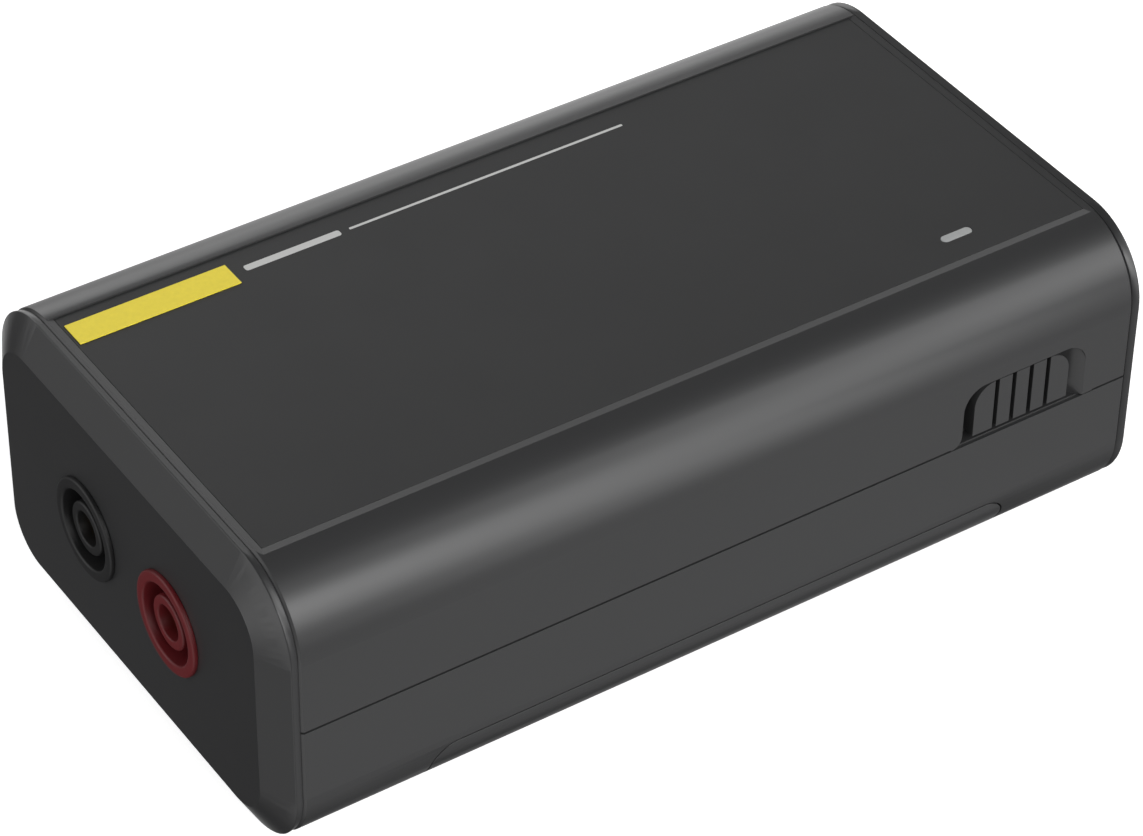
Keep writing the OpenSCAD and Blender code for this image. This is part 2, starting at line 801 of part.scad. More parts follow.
module output_jack_contact() {
    stand() color("gold") translate([0, jack_y, jack_z]) difference() {
        along_x(rear_x - 13) cylinder(d = 2.2, h = 13 + 6.4);
        along_x(rear_x + 1.4) cylinder(d = 1.4, h = far);
    }
}

module output_jack_washer() {
    stand() color("silver") translate([0, jack_y, jack_z]) along_x(rear_x - face_t - 0.6) difference() {
        cylinder(d = 13, h = 0.6);
        translate([0, 0, -1]) cylinder(d = 9.6, h = 3);
    }
}

module output_jack_nut() {
    stand() color("silver") translate([0, jack_y, jack_z]) along_x(rear_x - face_t - 3) difference() {
        cylinder(d = 14.6, h = 2.4, $fn = 6);
        translate([0, 0, -1]) cylinder(d = 9.54, h = 5);
    }
}

module power_inlet() {
    mouth = rear_x - 1.4;
    stand() color("silver") translate([0, inlet_y, inlet_z]) {
        difference() {
            along_x(mouth - inlet_l) linear_extrude(inlet_l) slot(inlet_w, inlet_h);
            along_x(mouth - inlet_l + 1) linear_extrude(inlet_l) slot(inlet_w - 0.6, inlet_h - 0.6);
        }
        translate([mouth - inlet_l + 0.9, -3.35, -0.35]) cube([inlet_l - 1.6, 6.7, 0.7]);
    }
}

top_shell();
bottom_shell();
front_end_cap();
rear_end_cap();
top_label();
name_badge();
light_pipe();
battery_door();
door_screws();
case_screws();
rubber_feet();
input_socket_red();
input_socket_black();
input_contact_sleeves();
input_socket_nuts();
input_wire_red();
input_wire_black();
main_board();
divider_resistors();
trimmer_capacitors();
shield_can();
amplifier_chips();
smoothing_capacitors();
power_inductor();
indicator_led();
switch_knob();
switch_housing();
switch_actuator();
board_screws();
battery_cells();
battery_leaf_springs();
battery_contact_plates();
output_jack_body();
output_jack_insulator();
output_jack_contact();
output_jack_nut();
output_jack_washer();
power_inlet();
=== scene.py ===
"""Looks of the box-type differential probe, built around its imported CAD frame.

Lengths are in millimetres until a mesh is made, and +X runs from the input end to the output end.
Pieces that show an exact moulding stay CAD nodes with softened edges. Turned, bent and stamped parts are
built here from sections and paths, and stand for their CAD nodes.
"""

import math

import bmesh
import bpy
from mathutils import Matrix, Vector


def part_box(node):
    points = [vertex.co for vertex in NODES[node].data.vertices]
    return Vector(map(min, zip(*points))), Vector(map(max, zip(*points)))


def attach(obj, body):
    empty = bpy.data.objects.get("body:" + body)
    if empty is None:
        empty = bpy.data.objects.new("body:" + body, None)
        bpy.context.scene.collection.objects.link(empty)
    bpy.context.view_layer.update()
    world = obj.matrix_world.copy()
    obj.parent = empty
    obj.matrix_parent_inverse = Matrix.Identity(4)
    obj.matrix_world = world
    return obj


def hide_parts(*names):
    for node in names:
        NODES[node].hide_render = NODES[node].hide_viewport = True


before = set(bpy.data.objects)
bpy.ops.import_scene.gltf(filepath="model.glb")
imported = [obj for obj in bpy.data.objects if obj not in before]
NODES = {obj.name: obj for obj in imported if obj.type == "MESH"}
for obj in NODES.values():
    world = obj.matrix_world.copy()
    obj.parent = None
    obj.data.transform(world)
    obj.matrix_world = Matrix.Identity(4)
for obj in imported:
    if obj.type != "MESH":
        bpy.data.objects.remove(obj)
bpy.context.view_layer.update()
MM = 0.001
X = Vector((1, 0, 0))
Y = Vector((0, 1, 0))
Z = Vector((0, 0, 1))


def box(node):
    """Lowest corner, highest corner and middle of a CAD node, in millimetres."""
    low, high = (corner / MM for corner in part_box(node))
    return low, high, (low + high) / 2


def near_face(node, level_with=None):
    """Middle of a node's face towards the input end, or the point of it level with another node's middle."""
    middle = box(level_with or node)[2]
    return Vector((box(node)[0].x, middle.y, middle.z))


# ---------------------------------------------------------------- node materials

def calculate(tree, operation, *values):
    """Result of a math node that is fed with numbers or sockets."""
    made = tree.nodes.new("ShaderNodeMath")
    made.operation = operation
    for socket, value in zip(made.inputs, values):
        if isinstance(value, (int, float)):
            socket.default_value = value
        else:
            tree.links.new(value, socket)
    return made.outputs[0]


def choose(tree, factor, first, second, output):
    """Sends the first shader to an output node where factor is 0, and the second where it is 1."""
    mixed = tree.nodes.new("ShaderNodeMixShader")
    for socket, value in zip(mixed.inputs, (factor, first, second)):
        tree.links.new(value, socket)
    tree.links.new(mixed.outputs[0], tree.nodes[output].inputs["Surface"])


LOOKS = {}               # every finish by its name


class Look:
    """A finish under construction: short calls for the nodes that all the finishes share."""

    def __init__(self, name, colour, roughness, metallic=0.0, **values):
        self.material = bpy.data.materials.new("look_" + name)
        LOOKS[name] = self.material
        self.material.use_nodes = True
        self.tree = self.material.node_tree
        self.shader = self.tree.nodes["Principled BSDF"]
        self.colour = colour
        self.put("Base Color", (*colour, 1))
        self.put("Roughness", roughness)
        self.put("Metallic", metallic)
        for key, value in values.items():
            self.put(key.replace("_", " "), value)
        self.material.diffuse_color = (*colour, 1)
        self.place = self.node("ShaderNodeTexCoord").outputs["Object"]

    def put(self, socket, value):
        self.shader.inputs[socket].default_value = value

    def node(self, kind, **settings):
        made = self.tree.nodes.new(kind)
        for key, value in settings.items():
            setattr(made, key, value)
        return made

    def link(self, source, target):
        self.tree.links.new(source, target)

    def math(self, operation, *values):
        return calculate(self.tree, operation, *values)

    def texture(self, kind, size, stretch=(1, 1, 1), **settings):
        """Texture node whose pattern is about size millimetres wide, stretched along the axes."""
        mapping = self.node("ShaderNodeMapping")
        self.link(self.place, mapping.inputs["Vector"])
        mapping.inputs["Scale"].default_value = [1 / (size * MM * s) for s in stretch]
        made = self.node(kind, **settings)
        made.inputs["Scale"].default_value = 1.0
        self.link(mapping.outputs["Vector"], made.inputs["Vector"])
        return made

    def noise(self, size, detail=2.0, stretch=(1, 1, 1)):
        made = self.texture("ShaderNodeTexNoise", size, stretch)
        made.inputs["Detail"].default_value = detail
        return made.outputs["Fac"]

    def cells(self, size, metric="EUCLIDEAN", output="Distance"):
        """Pattern of cells in the plane of the board, each around its own point."""
        made = self.texture("ShaderNodeTexVoronoi", size, distance=metric, voronoi_dimensions="2D")
        return made.outputs[output]

    def stripes(self, axis, pitch, share, where):
        """1 on stripes that follow each other along the axis, where the third value is 1."""
        phase = self.math("FRACT", self.math("MULTIPLY", self.part(axis), 1 / (pitch * MM)))
        return self.math("MULTIPLY", self.math("LESS_THAN", phase, share), where)

    def part(self, axis):
        """One coordinate of the surface point, in metres."""
        made = self.node("ShaderNodeSeparateXYZ")
        self.link(self.place, made.inputs[0])
        return made.outputs[axis]

    def mixed(self, factor, first, second):
        """Colour between first and second, each a colour or a socket."""
        made = self.node("ShaderNodeMix", data_type="RGBA")
        self.link(factor, made.inputs["Factor"])
        for socket, value in zip(made.inputs[6:8], (first, second)):
            if isinstance(value, tuple):
                socket.default_value = (*value, 1)
            else:
                self.link(value, socket)
        return made.outputs[2]

    def tint(self, value, amount):
        """The finish's own colour, made to vary by +-amount with value."""
        dark = tuple(c * (1 - amount) for c in self.colour)
        light = tuple(min(1.0, c * (1 + amount)) for c in self.colour)
        return self.mixed(value, dark, light)

    def mottle(self, value, amount):
        self.link(self.tint(value, amount), self.shader.inputs["Base Color"])

    def wear(self, value, low, high):
        """Roughness that runs from low to high with value."""
        made = self.node("ShaderNodeMapRange")
        self.link(value, made.inputs["Value"])
        made.inputs["To Min"].default_value = low
        made.inputs["To Max"].default_value = high
        self.link(made.outputs["Result"], self.shader.inputs["Roughness"])

    def relief(self, height, depth):
        """Bump of the given depth in millimetres; several calls stack up."""
        made = self.node("ShaderNodeBump")
        made.inputs["Distance"].default_value = depth * MM
        self.link(height, made.inputs["Height"])
        before = self.shader.inputs["Normal"].links
        if before:
            self.link(before[0].from_socket, made.inputs["Normal"])
        self.link(made.outputs["Normal"], self.shader.inputs["Normal"])


def moulded(name, colour, roughness, grain=0.22, depth=0.012, variation=0.05, **values):
    """Injection-moulded plastic: faint flow clouds, uneven gloss and two layers of mould grain."""
    look = Look(name, colour, roughness, **values)
    look.mottle(look.noise(14, 3, (2.2, 1, 1)), variation)
    look.wear(look.noise(5, 4), roughness - 0.02, roughness + 0.02)
    look.relief(look.noise(grain, 2), depth)
    look.relief(look.noise(grain * 0.45, 1), depth * 0.5)


def plated(name, colour, roughness, brush=(1, 1, 1), streak=0.25):
    """Bare or plated metal: cloudy lustre, and fine streaks along the axis that brush stretches most."""
    look = Look(name, colour, roughness, metallic=1.0)
    streaks = look.noise(streak, 3, brush)
    clouds = look.noise(4, 3)
    look.mottle(clouds, 0.08)
    look.wear(look.math("MULTIPLY", look.math("ADD", streaks, clouds), 0.5), roughness * 0.6, roughness * 1.5)
    look.relief(streaks, 0.006)


def label_film():
    """Matte overlay film: velvet grain, and a slight gloss change where hands rub it."""
    look = Look("label_film", LABEL_GREY, 0.50, Specular_IOR_Level=0.4)
    look.mottle(look.noise(30, 2), 0.05)
    look.wear(look.noise(9, 4), 0.46, 0.54)
    look.relief(look.noise(0.16, 2), 0.006)


def badge_film():
    """Yellow print on film, with the faint mottle of screen ink."""
    look = Look("badge_film", (0.93, 0.76, 0.05), 0.42)
    look.mottle(look.noise(0.5, 3), 0.06)
    look.relief(look.noise(0.12, 2), 0.004)


def light_pipe():
    """Milky light guide: light sinks in a little before it comes back."""
    look = Look("light_pipe", (0.42, 0.43, 0.43), 0.35, Subsurface_Weight=0.35,
                Subsurface_Radius=(1.0, 1.0, 1.0), Subsurface_Scale=0.4 * MM)
    look.mottle(look.noise(0.8, 3), 0.1)
    look.relief(look.noise(0.2, 2), 0.005)


GLASS_WEAVE = 0.7        # pitch of the glass cloth that shows through the solder mask
RUN_PITCH = 1.3          # pitch of the copper runs
RUN_SHARE = 0.38         # share of the pitch that is copper


def board_mask():
    """Green solder mask: glass weave below it, parallel copper runs in patches, and tinned vias."""
    look = Look("board", (0.012, 0.09, 0.04), 0.32, Coat_Weight=0.4, Coat_Roughness=0.15)
    patch = look.node("ShaderNodeSeparateColor")
    look.link(look.cells(7, "CHEBYCHEV", "Color"), patch.inputs[0])
    choice = patch.outputs[0]
    runs = look.math("MAXIMUM",
                     look.stripes("X", RUN_PITCH, RUN_SHARE, look.math("GREATER_THAN", choice, 0.62)),
                     look.stripes("Y", RUN_PITCH, RUN_SHARE, look.math("LESS_THAN", choice, 0.42)))
    vias = look.math("LESS_THAN", look.cells(5), 0.075)
    green = look.tint(look.noise(2, 3), 0.1)
    tracks = look.mixed(runs, green, (0.03, 0.17, 0.07))
    look.link(look.mixed(vias, tracks, (0.55, 0.55, 0.52)), look.shader.inputs["Base Color"])
    look.link(vias, look.shader.inputs["Metallic"])
    waves = 2 * math.pi / (GLASS_WEAVE * MM)
    weave = look.math("MULTIPLY",
                      look.math("SINE", look.math("MULTIPLY", look.part("X"), waves)),
                      look.math("SINE", look.math("MULTIPLY", look.part("Y"), waves)))
    look.relief(weave, 0.006)
    look.relief(runs, 0.03)


def cell_wrap():
    """Printed foil wrap of a cell: metallic ink with fine rolling lines."""
    look = Look("cell_wrap", (0.03, 0.13, 0.075), 0.3, metallic=0.35, Coat_Weight=0.6, Coat_Roughness=0.12)
    look.mottle(look.noise(1.6, 3, (8, 1, 1)), 0.14)
    look.wear(look.noise(0.7, 4), 0.24, 0.38)
    look.relief(look.noise(0.5, 2, (12, 1, 1)), 0.01)


# Linear colours that decide the overall tone of the object
CASE_GREY = (0.040, 0.0402, 0.0412)
CAP_GREY = (0.034, 0.0342, 0.0352)
LABEL_GREY = (0.026, 0.0262, 0.0268)

moulded("case_plastic", CASE_GREY, 0.30, depth=0.004)
moulded("cap_plastic", CAP_GREY, 0.30, depth=0.004)
label_film()
badge_film()
light_pipe()
moulded("socket_red", (0.135, 0.006, 0.009), 0.48, grain=0.3, depth=0.006)
moulded("socket_black", (0.009, 0.009, 0.0095), 0.5, grain=0.3, depth=0.006)
plated("contact_brass", (0.80, 0.56, 0.22), 0.22, brush=(0.6, 3, 3))
plated("nickel", (0.66, 0.64, 0.60), 0.22, brush=(0.5, 4, 4))
plated("zinc_steel", (0.58, 0.58, 0.56), 0.34)
plated("spring_steel", (0.62, 0.62, 0.60), 0.26, brush=(1, 1, 8))
plated("tinned_steel", (0.62, 0.62, 0.61), 0.36, brush=(9, 1, 1))
plated("copper", (0.80, 0.40, 0.22), 0.30)
plated("solder", (0.60, 0.60, 0.60), 0.30, streak=0.6)
moulded("foot_rubber", (0.014, 0.014, 0.0145), 0.72, grain=0.35, depth=0.02)
moulded("wire_red", (0.38, 0.012, 0.012), 0.42, grain=0.5, depth=0.01)
moulded("wire_black", (0.014, 0.014, 0.014), 0.42, grain=0.5, depth=0.01)
board_mask()
moulded("resistor", (0.10, 0.24, 0.42), 0.28, grain=0.5, depth=0.008, Coat_Weight=0.5)
moulded("resistor_band", (0.30, 0.10, 0.02), 0.3, grain=0.5, depth=0.008)
moulded("resistor_dark", (0.02, 0.02, 0.02), 0.3, grain=0.5, depth=0.008)
moulded("trimmer", (0.55, 0.36, 0.09), 0.5, grain=0.3, depth=0.02)
moulded("chip_black", (0.017, 0.017, 0.018), 0.6, grain=0.15, depth=0.012)
moulded("ferrite", (0.05, 0.05, 0.052), 0.55, grain=0.25, depth=0.03, variation=0.15)
plated("capacitor_can", (0.66, 0.67, 0.68), 0.30, brush=(1, 1, 6))
moulded("led_body", (0.78, 0.78, 0.72), 0.4, grain=0.4, depth=0.006)
moulded("actuator_plastic", (0.70, 0.70, 0.66), 0.5, grain=0.3, depth=0.01)
cell_wrap()
moulded("print_white", (0.62, 0.62, 0.61), 0.5, grain=0.3, depth=0.002)
moulded("insulator", (0.78, 0.78, 0.76), 0.45, grain=0.4, depth=0.008)


# ---------------------------------------------------------------- carried-over CAD nodes

FLAT_ANGLE = 0.3         # faces closer in angle than this are merged into one
SHARP_ANGLE = 30.0       # edges sharper than this are rounded


def soften(node, slot, width, flatten=True):
    """Keeps a CAD node, with its moulded or cut edges rounded by modifiers and its finish from LOOKS."""
    piece = NODES[node]
    piece.data.materials[0] = LOOKS[slot]
    weld = piece.modifiers.new("weld", "WELD")
    weld.merge_threshold = 0.001 * MM
    if flatten:
        flat = piece.modifiers.new("flat", "DECIMATE")
        flat.decimate_type = "DISSOLVE"
        flat.angle_limit = math.radians(FLAT_ANGLE)
    bevel = piece.modifiers.new("edges", "BEVEL")
    bevel.width = width * MM
    bevel.segments = 3
    bevel.limit_method = "ANGLE"
    bevel.angle_limit = math.radians(SHARP_ANGLE)
    bevel.miter_outer = "MITER_ARC"
    bevel.harden_normals = True


for name, slot, width in (
        ("top_shell", "case_plastic", 0.14),
        ("bottom_shell", "case_plastic", 0.12),
        ("battery_door", "case_plastic", 0.15),
        ("front_end_cap", "cap_plastic", 0.14),
        ("rear_end_cap", "cap_plastic", 0.14),
        ("top_label", "label_film", 0.03),
        ("name_badge", "badge_film", 0.03),
        ("light_pipe", "light_pipe", 0.08),
        ("shield_can", "tinned_steel", 0.1),
        ("power_inductor", "ferrite", 0.3),
        ("indicator_led", "led_body", 0.1),
        ("switch_housing", "tinned_steel", 0.12),
        ("switch_actuator", "actuator_plastic", 0.12)):
    soften(name, slot, width)
# The knob's curved outside only keeps its shading with all its faces
soften("switch_knob", "case_plastic", 0.12, flatten=False)


# ---------------------------------------------------------------- mesh building

def loft(rings, closed=False):
    """Mesh whose surface joins rings of equally many points, closed on itself or capped at both ends."""
    mesh = bmesh.new()
    loops = [[mesh.verts.new(Vector(point) * MM) for point in ring] for ring in rings]
    pairs = list(zip(loops, loops[1:]))
    if closed:
        pairs.append((loops[-1], loops[0]))
    else:
        mesh.faces.new(loops[0])
        mesh.faces.new(loops[-1])
    for first, second in pairs:
        count = len(first)
        for i in range(count):
            j = (i + 1) % count
            mesh.faces.new((first[i], first[j], second[j], second[i]))
    bmesh.ops.recalc_face_normals(mesh, faces=mesh.faces)
    return mesh


AXIS_R = 0.02            # radius at which a section that reaches its axis is capped
STRAIGHT = 1.55          # half a corner's angle, in radians, from which it counts as straight
SIDE_SHARE = 0.49        # share of a side that the rounding of a corner may take up


def turned(section, centre, axis, steps=96, closed=False):
    """Solid of revolution. Each entry of section is (along, radius) or a function of the angle giving it.
    A closed section joins its last entry to its first; an open one is capped at both ends."""
    side = axis.orthogonal().normalized()
    other = axis.cross(side)
    rings = []
    for entry in section:
        ring = []
        for i in range(steps):
            turn = 2 * math.pi * i / steps
            along, radius = entry(turn) if callable(entry) else entry
            offset = side * math.cos(turn) + other * math.sin(turn)
            ring.append(centre + axis * along + offset * radius)
        rings.append(ring)
    return loft(rings, closed)


def corner_reach(to_last, to_next, radius):
    """How far from a corner its rounding starts, and half the corner's angle; no reach if it stays sharp."""
    half = to_last.angle(to_next) / 2
    if radius <= 0 or half > STRAIGHT:
        return 0.0, half
    return min(radius / math.tan(half), SIDE_SHARE * to_last.length, SIDE_SHARE * to_next.length), half


def rounded(points, steps=4):
    """Closed outline with rounded corners, from (u, v) or (u, v, corner radius)."""
    result = []
    count = len(points)
    for i, point in enumerate(points):
        here = Vector(point[:2])
        radius = point[2] if len(point) > 2 else 0
        to_last = Vector(points[i - 1][:2]) - here
        to_next = Vector(points[(i + 1) % count][:2]) - here
        reach, half = corner_reach(to_last, to_next, radius)
        if not reach:
            result.append(tuple(here))
            continue
        start = here + to_last.normalized() * reach
        end = here + to_next.normalized() * reach
        middle = here + (to_last.normalized() + to_next.normalized()).normalized() * reach / math.cos(half)
        first = start - middle
        for step in range(steps + 1):
            # angle_signed counts clockwise and Rotation the other way, hence the minus
            turn = first.angle_signed(end - middle) * step / steps
            result.append(tuple(middle + Matrix.Rotation(-turn, 2) @ first))
    return result


def thread(start, end, radius, pitch, depth, per_pitch=6):
    """Section entries of a helical thread whose crests lie at the given radius."""
    count = max(2, round((end - start) / pitch * per_pitch))

    def entry(along):
        def at(turn):
            phase = (along / pitch - turn / (2 * math.pi)) % 1.0
            return along, radius - depth * abs(2 * phase - 1)
        return at
    return [entry(start + (end - start) * i / count) for i in range(count + 1)]


def stations(section, step):
    """Adds points to a section so that no straight stretch is longer than step."""
    result = []
    for first, second in zip(section, section[1:]):
        count = max(1, math.ceil((Vector(second) - Vector(first)).length / step))
        result += [tuple(Vector(first).lerp(Vector(second), i / count)) for i in range(count)]
    return result + [section[-1]]


def tube(path, radius, steps, bend=0.0, bend_steps=6):
    """Round wire along a path of points, with its corners rounded to the bend radius."""
    points = [Vector(p) for p in path]
    smooth = [points[0]]
    for last, here, following in zip(points, points[1:], points[2:]):
        to_last, to_next = last - here, following - here
        reach, _ = corner_reach(to_last, to_next, bend)
        if not reach:
            smooth.append(here)
            continue
        start, end = here + to_last.normalized() * reach, here + to_next.normalized() * reach
        for i in range(bend_steps + 1):
            t = i / bend_steps
            smooth.append(start * (1 - t) ** 2 + here * 2 * t * (1 - t) + end * t * t)
    smooth.append(points[-1])
    directions = []
    for i in range(len(smooth)):
        ahead = smooth[min(i + 1, len(smooth) - 1)] - smooth[max(i - 1, 0)]
        directions.append(ahead.normalized())
    side = directions[0].orthogonal().normalized()
    turns = [2 * math.pi * i / steps for i in range(steps)]
    rings = []
    for point, direction in zip(smooth, directions):
        side = (side - direction * side.dot(direction)).normalized()
        other = direction.cross(side)
        rings.append([point + (side * math.cos(t) + other * math.sin(t)) * radius for t in turns])
    return loft(rings)


def ribbon(path, thickness, width, place):
    """Flat strip that follows an open path of (u, v) points; w runs across it."""
    points = [Vector(p) for p in path]
    left, right = [], []
    for i, point in enumerate(points):
        ahead = (points[min(i + 1, len(points) - 1)] - points[max(i - 1, 0)]).normalized()
        normal = Vector((-ahead.y, ahead.x)) * thickness / 2
        left.append(point + normal)
        right.append(point - normal)
    half = width / 2
    return loft([[place(*a, -half), place(*a, half), place(*b, half), place(*b, -half)]
                 for a, b in zip(left, right)])


def slab(outline, start, end, place, edge=0.0):
    """Prism of a closed outline of (u, v) points; place(u, v, w) gives the point for depth w.
    Its rims are chamfered by edge in two steps."""
    centre = sum((Vector(p) for p in outline), Vector((0, 0))) / len(outline)
    size = max((Vector(p) - centre).length for p in outline)

    def ring(inset, depth):
        shrink = 1 - inset / size
        return [place(*(centre + (Vector(p) - centre) * shrink), depth) for p in outline]
    way = 1 if end > start else -1
    if edge <= 0:
        return loft([ring(0, start), ring(0, end)])
    rings = [ring(edge, start), ring(edge * 0.3, start + way * edge * 0.3), ring(0, start + way * edge)]
    rings += [ring(0, end - way * edge), ring(edge * 0.3, end - way * edge * 0.3), ring(edge, end)]
    return loft(rings)


def rectangle(u0, u1, v0, v1, radius, steps=4):
    """Outline of a rectangle with rounded corners."""
    return rounded([(u0, v0, radius), (u1, v0, radius), (u1, v1, radius), (u0, v1, radius)], steps)


def stadium(length, width, inset, steps=12):
    """Slot outline of overall length and width, drawn smaller by inset."""
    radius = width / 2 - inset
    points = []
    for side in (1, -1):
        for i in range(steps + 1):
            turn = math.pi * (i / steps - 0.5) + (0 if side == 1 else math.pi)
            points.append((side * (length - width) / 2 + radius * math.cos(turn), radius * math.sin(turn)))
    return points


def placed(mesh, name):
    """Scene object made of a bmesh, which is used up."""
    data = bpy.data.meshes.new(name)
    mesh.to_mesh(data)
    mesh.free()
    made = bpy.data.objects.new(name, data)
    bpy.context.scene.collection.objects.link(made)
    return made


class Piece:
    """One visible piece, made of parts: it replaces its CAD node unless told not to. slot names its main
    finish, and body is the one it rides on."""

    def __init__(self, node, ending, slot, body="case", replaces=True):
        self.node = node
        self.name = node + "_" + ending
        self.slot = slot
        self.body = body
        self.replaces = replaces
        self.looks = []
        self.mesh = bmesh.new()

    def index(self, look):
        if look not in self.looks:
            self.looks.append(look)
        return self.looks.index(look)

    def add(self, part, look=None, paint=None):
        """Adds a part. paint(centre of a face in millimetres) may name another finish for that face."""
        for face in part.faces:
            chosen = paint(face.calc_center_median() / MM) if paint else None
            face.material_index = self.index(chosen or look or self.slot)
            face.smooth = True
        holder = bpy.data.meshes.new("holder")
        part.to_mesh(holder)
        part.free()
        self.mesh.from_mesh(holder)
        bpy.data.meshes.remove(holder)
        return self

    def done(self, sharp=40.0):
        """Puts the piece into the scene. Edges above the sharp angle keep their crease."""
        piece = placed(self.mesh, self.name)
        piece.data.set_sharp_from_angle(angle=math.radians(sharp))
        for look in self.looks:
            piece.data.materials.append(LOOKS[look])
        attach(piece, self.body)
        if self.replaces:
            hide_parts(self.node)


def combine(first, second, operation):
    """Boolean of two bmeshes, giving a new one."""
    base, tool = placed(first, "base"), placed(second, "tool")
    modifier = base.modifiers.new("combine", "BOOLEAN")
    modifier.operation = operation
    modifier.solver = "EXACT"
    modifier.object = tool
    graph = bpy.context.evaluated_depsgraph_get()
    result = bmesh.new()
    result.from_mesh(base.evaluated_get(graph).to_mesh())
    for operand in (base, tool):
        bpy.data.meshes.remove(operand.data)
    return result


def block(low, high, edge=0.0):
    """Box between two corners, with its rims eased along z."""
    return slab(rectangle(low[0], high[0], low[1], high[1], edge), low[2], high[2],
                lambda u, v, w: (u, v, w), edge)


# ---------------------------------------------------------------- inputs

PLAY = 0.02              # gap drawn between parts that would otherwise share a surface
SOCKET_HOLE = 2.5        # radius of the cavity for the contact sleeve
PILLAR_R = 3.3           # middle pillar that carries the sleeve
PILLAR_BORE = 2.15       # plug hole in the pillar's face
PILLAR_SINK = 0.4        # how far the pillar's face lies behind the flange's
SHROUD_R = 4.9           # outer wall of the ring gap a plug's shroud enters
GAP_DEPTH = 17.0
CAVITY_DEPTH = 19.8
FLANGE_T = 0.6
SOCKET_BODY_R = 5.5
SOCKET_TAIL_R = 5.2
POST_R = 1.5             # solder post of the contact sleeve
PLUG_R = 2.0


def input_socket(colour):
    """Moulded socket: flange, ring gap round a bored pillar, and a threaded body."""
    node = "input_socket_" + colour
    low, high, _ = box(node)
    flange_r = (high.y - low.y) / 2
    length = high.x - low.x
    sleeve_at = box("input_contact_sleeves")[0].x - low.x
    inner = rounded([
        (length, SOCKET_TAIL_R), (length, POST_R + PLAY), (CAVITY_DEPTH, POST_R + PLAY),
        (CAVITY_DEPTH, SOCKET_HOLE), (sleeve_at, SOCKET_HOLE), (sleeve_at, PILLAR_BORE),
        (PILLAR_SINK, PILLAR_BORE, 0.2), (PILLAR_SINK, PILLAR_R, 0.3),
        (GAP_DEPTH, PILLAR_R, 0.2), (GAP_DEPTH, SHROUD_R, 0.2), (0, SHROUD_R, 0.3),
        (0, flange_r, 0.35), (FLANGE_T, flange_r, 0.08), (FLANGE_T, SOCKET_BODY_R), (2.4, SOCKET_BODY_R)])
    outer = thread(3.2, length - 5, SOCKET_BODY_R, pitch=0.9, depth=0.35)
    section = inner + outer + [(length - 4.4, SOCKET_TAIL_R)]
    piece = Piece(node, "moulding", "socket_" + colour)
    piece.add(turned(section, near_face(node), X, closed=True))
    piece.done()


def contact_sleeves():
    """Turned sleeves with a chamfered mouth, a shoulder and a solder post with a wire groove."""
    low, high, _ = box("input_contact_sleeves")
    length = high.x - low.x
    shoulder = box("input_socket_red")[0].x + CAVITY_DEPTH - low.x
    outside = SOCKET_HOLE - PLAY
    groove, neck = outside - 0.13, POST_R - 0.2
    section = [(shoulder - 1, AXIS_R), (shoulder - 1, PLUG_R), (0.35, PLUG_R), (0, PLUG_R + 0.25),
               (0, outside - 0.1), (0.15, outside), (2.0, outside), (2.15, groove), (2.6, groove),
               (2.75, outside), (shoulder - 0.2, outside), (shoulder, outside - 0.18), (shoulder, POST_R),
               (length - 2.4, POST_R), (length - 2.2, neck), (length - 1.2, neck), (length - 1.0, POST_R),
               (length - 0.25, POST_R), (length, POST_R - 0.25), (length, AXIS_R)]
    piece = Piece("input_contact_sleeves", "turned", "contact_brass")
    for colour in ("red", "black"):
        piece.add(turned(section, near_face("input_contact_sleeves", "input_socket_" + colour), X, 64))
    piece.done()


def hex_section(flat, height, bore):
    """Section entries of a chamfered hexagon nut: flat is half its width across flats."""
    rim = flat * 0.98

    def corner(turn):
        return flat / math.cos((turn + math.pi / 6) % (math.pi / 3) - math.pi / 6)

    def drop(turn):
        return max(0.0, corner(turn) - rim) * 0.55
    return [(0.3, bore), (height - 0.3, bore), (height, bore + 0.3), (height, rim),
            lambda turn: (height - drop(turn), corner(turn)), lambda turn: (drop(turn), corner(turn)),
            (0, rim), (0, bore + 0.3)]


def socket_nuts():
    """Hexagon nuts on the two sockets, clear of each other."""
    low, high, _ = box("input_socket_nuts")
    piece = Piece("input_socket_nuts", "turned", "nickel")
    flat = (high.z - low.z) / 2 * math.cos(math.pi / 6)
    for colour in ("red", "black"):
        centre = near_face("input_socket_nuts", "input_socket_" + colour)
        section = hex_section(min(flat, abs(centre.y) - 0.1), high.x - low.x, SOCKET_BODY_R + PLAY)
        piece.add(turned(section, centre, X, 72, closed=True))
    piece.done(sharp=20)


def input_wire(colour):
    """Silicone lead from the socket's solder post over to the board, with stripped copper ends."""
    node = "input_wire_" + colour
    low, high, middle = box(node)
    radius = (high.y - low.y) / 2
    y = middle.y
    left, right, top = low.x + radius, high.x - radius, high.z - radius
    board = box("main_board")[1].z
    piece = Piece(node, "lead", "wire_" + colour)
    insulation = [(left, y, low.z + 1.6), (left, y, top), (right, y, top), (right, y, board + 1.0)]
    piece.add(tube(insulation, radius, 20, bend=3.3, bend_steps=10))
    for x, z0, z1 in ((left, low.z, low.z + 2.4), (right, board, board + 1.6)):
        piece.add(tube([(x, y, z0), (x, y, z1)], radius * 0.6, 12), "copper")
    piece.done()


# ---------------------------------------------------------------- screws, feet

def cross_cutter(centre, axis, reach, width, depth):
    """Two crossed blades with tapered tips, as a screwdriver bit leaves."""
    side = axis.orthogonal().normalized()
    other = axis.cross(side)
    result = None
    for along, across in ((side, other), (other, side)):
        rings = []
        for level, half in ((-0.5, reach + 0.35), (depth, reach * 0.45)):
            outline = ((half, width / 2), (-half, width / 2), (-half, -width / 2), (half, -width / 2))
            rings.append([centre + along * u + across * v + axis * level for u, v in outline])
        blade = loft(rings)
        result = blade if result is None else combine(result, blade, "UNION")
    return result


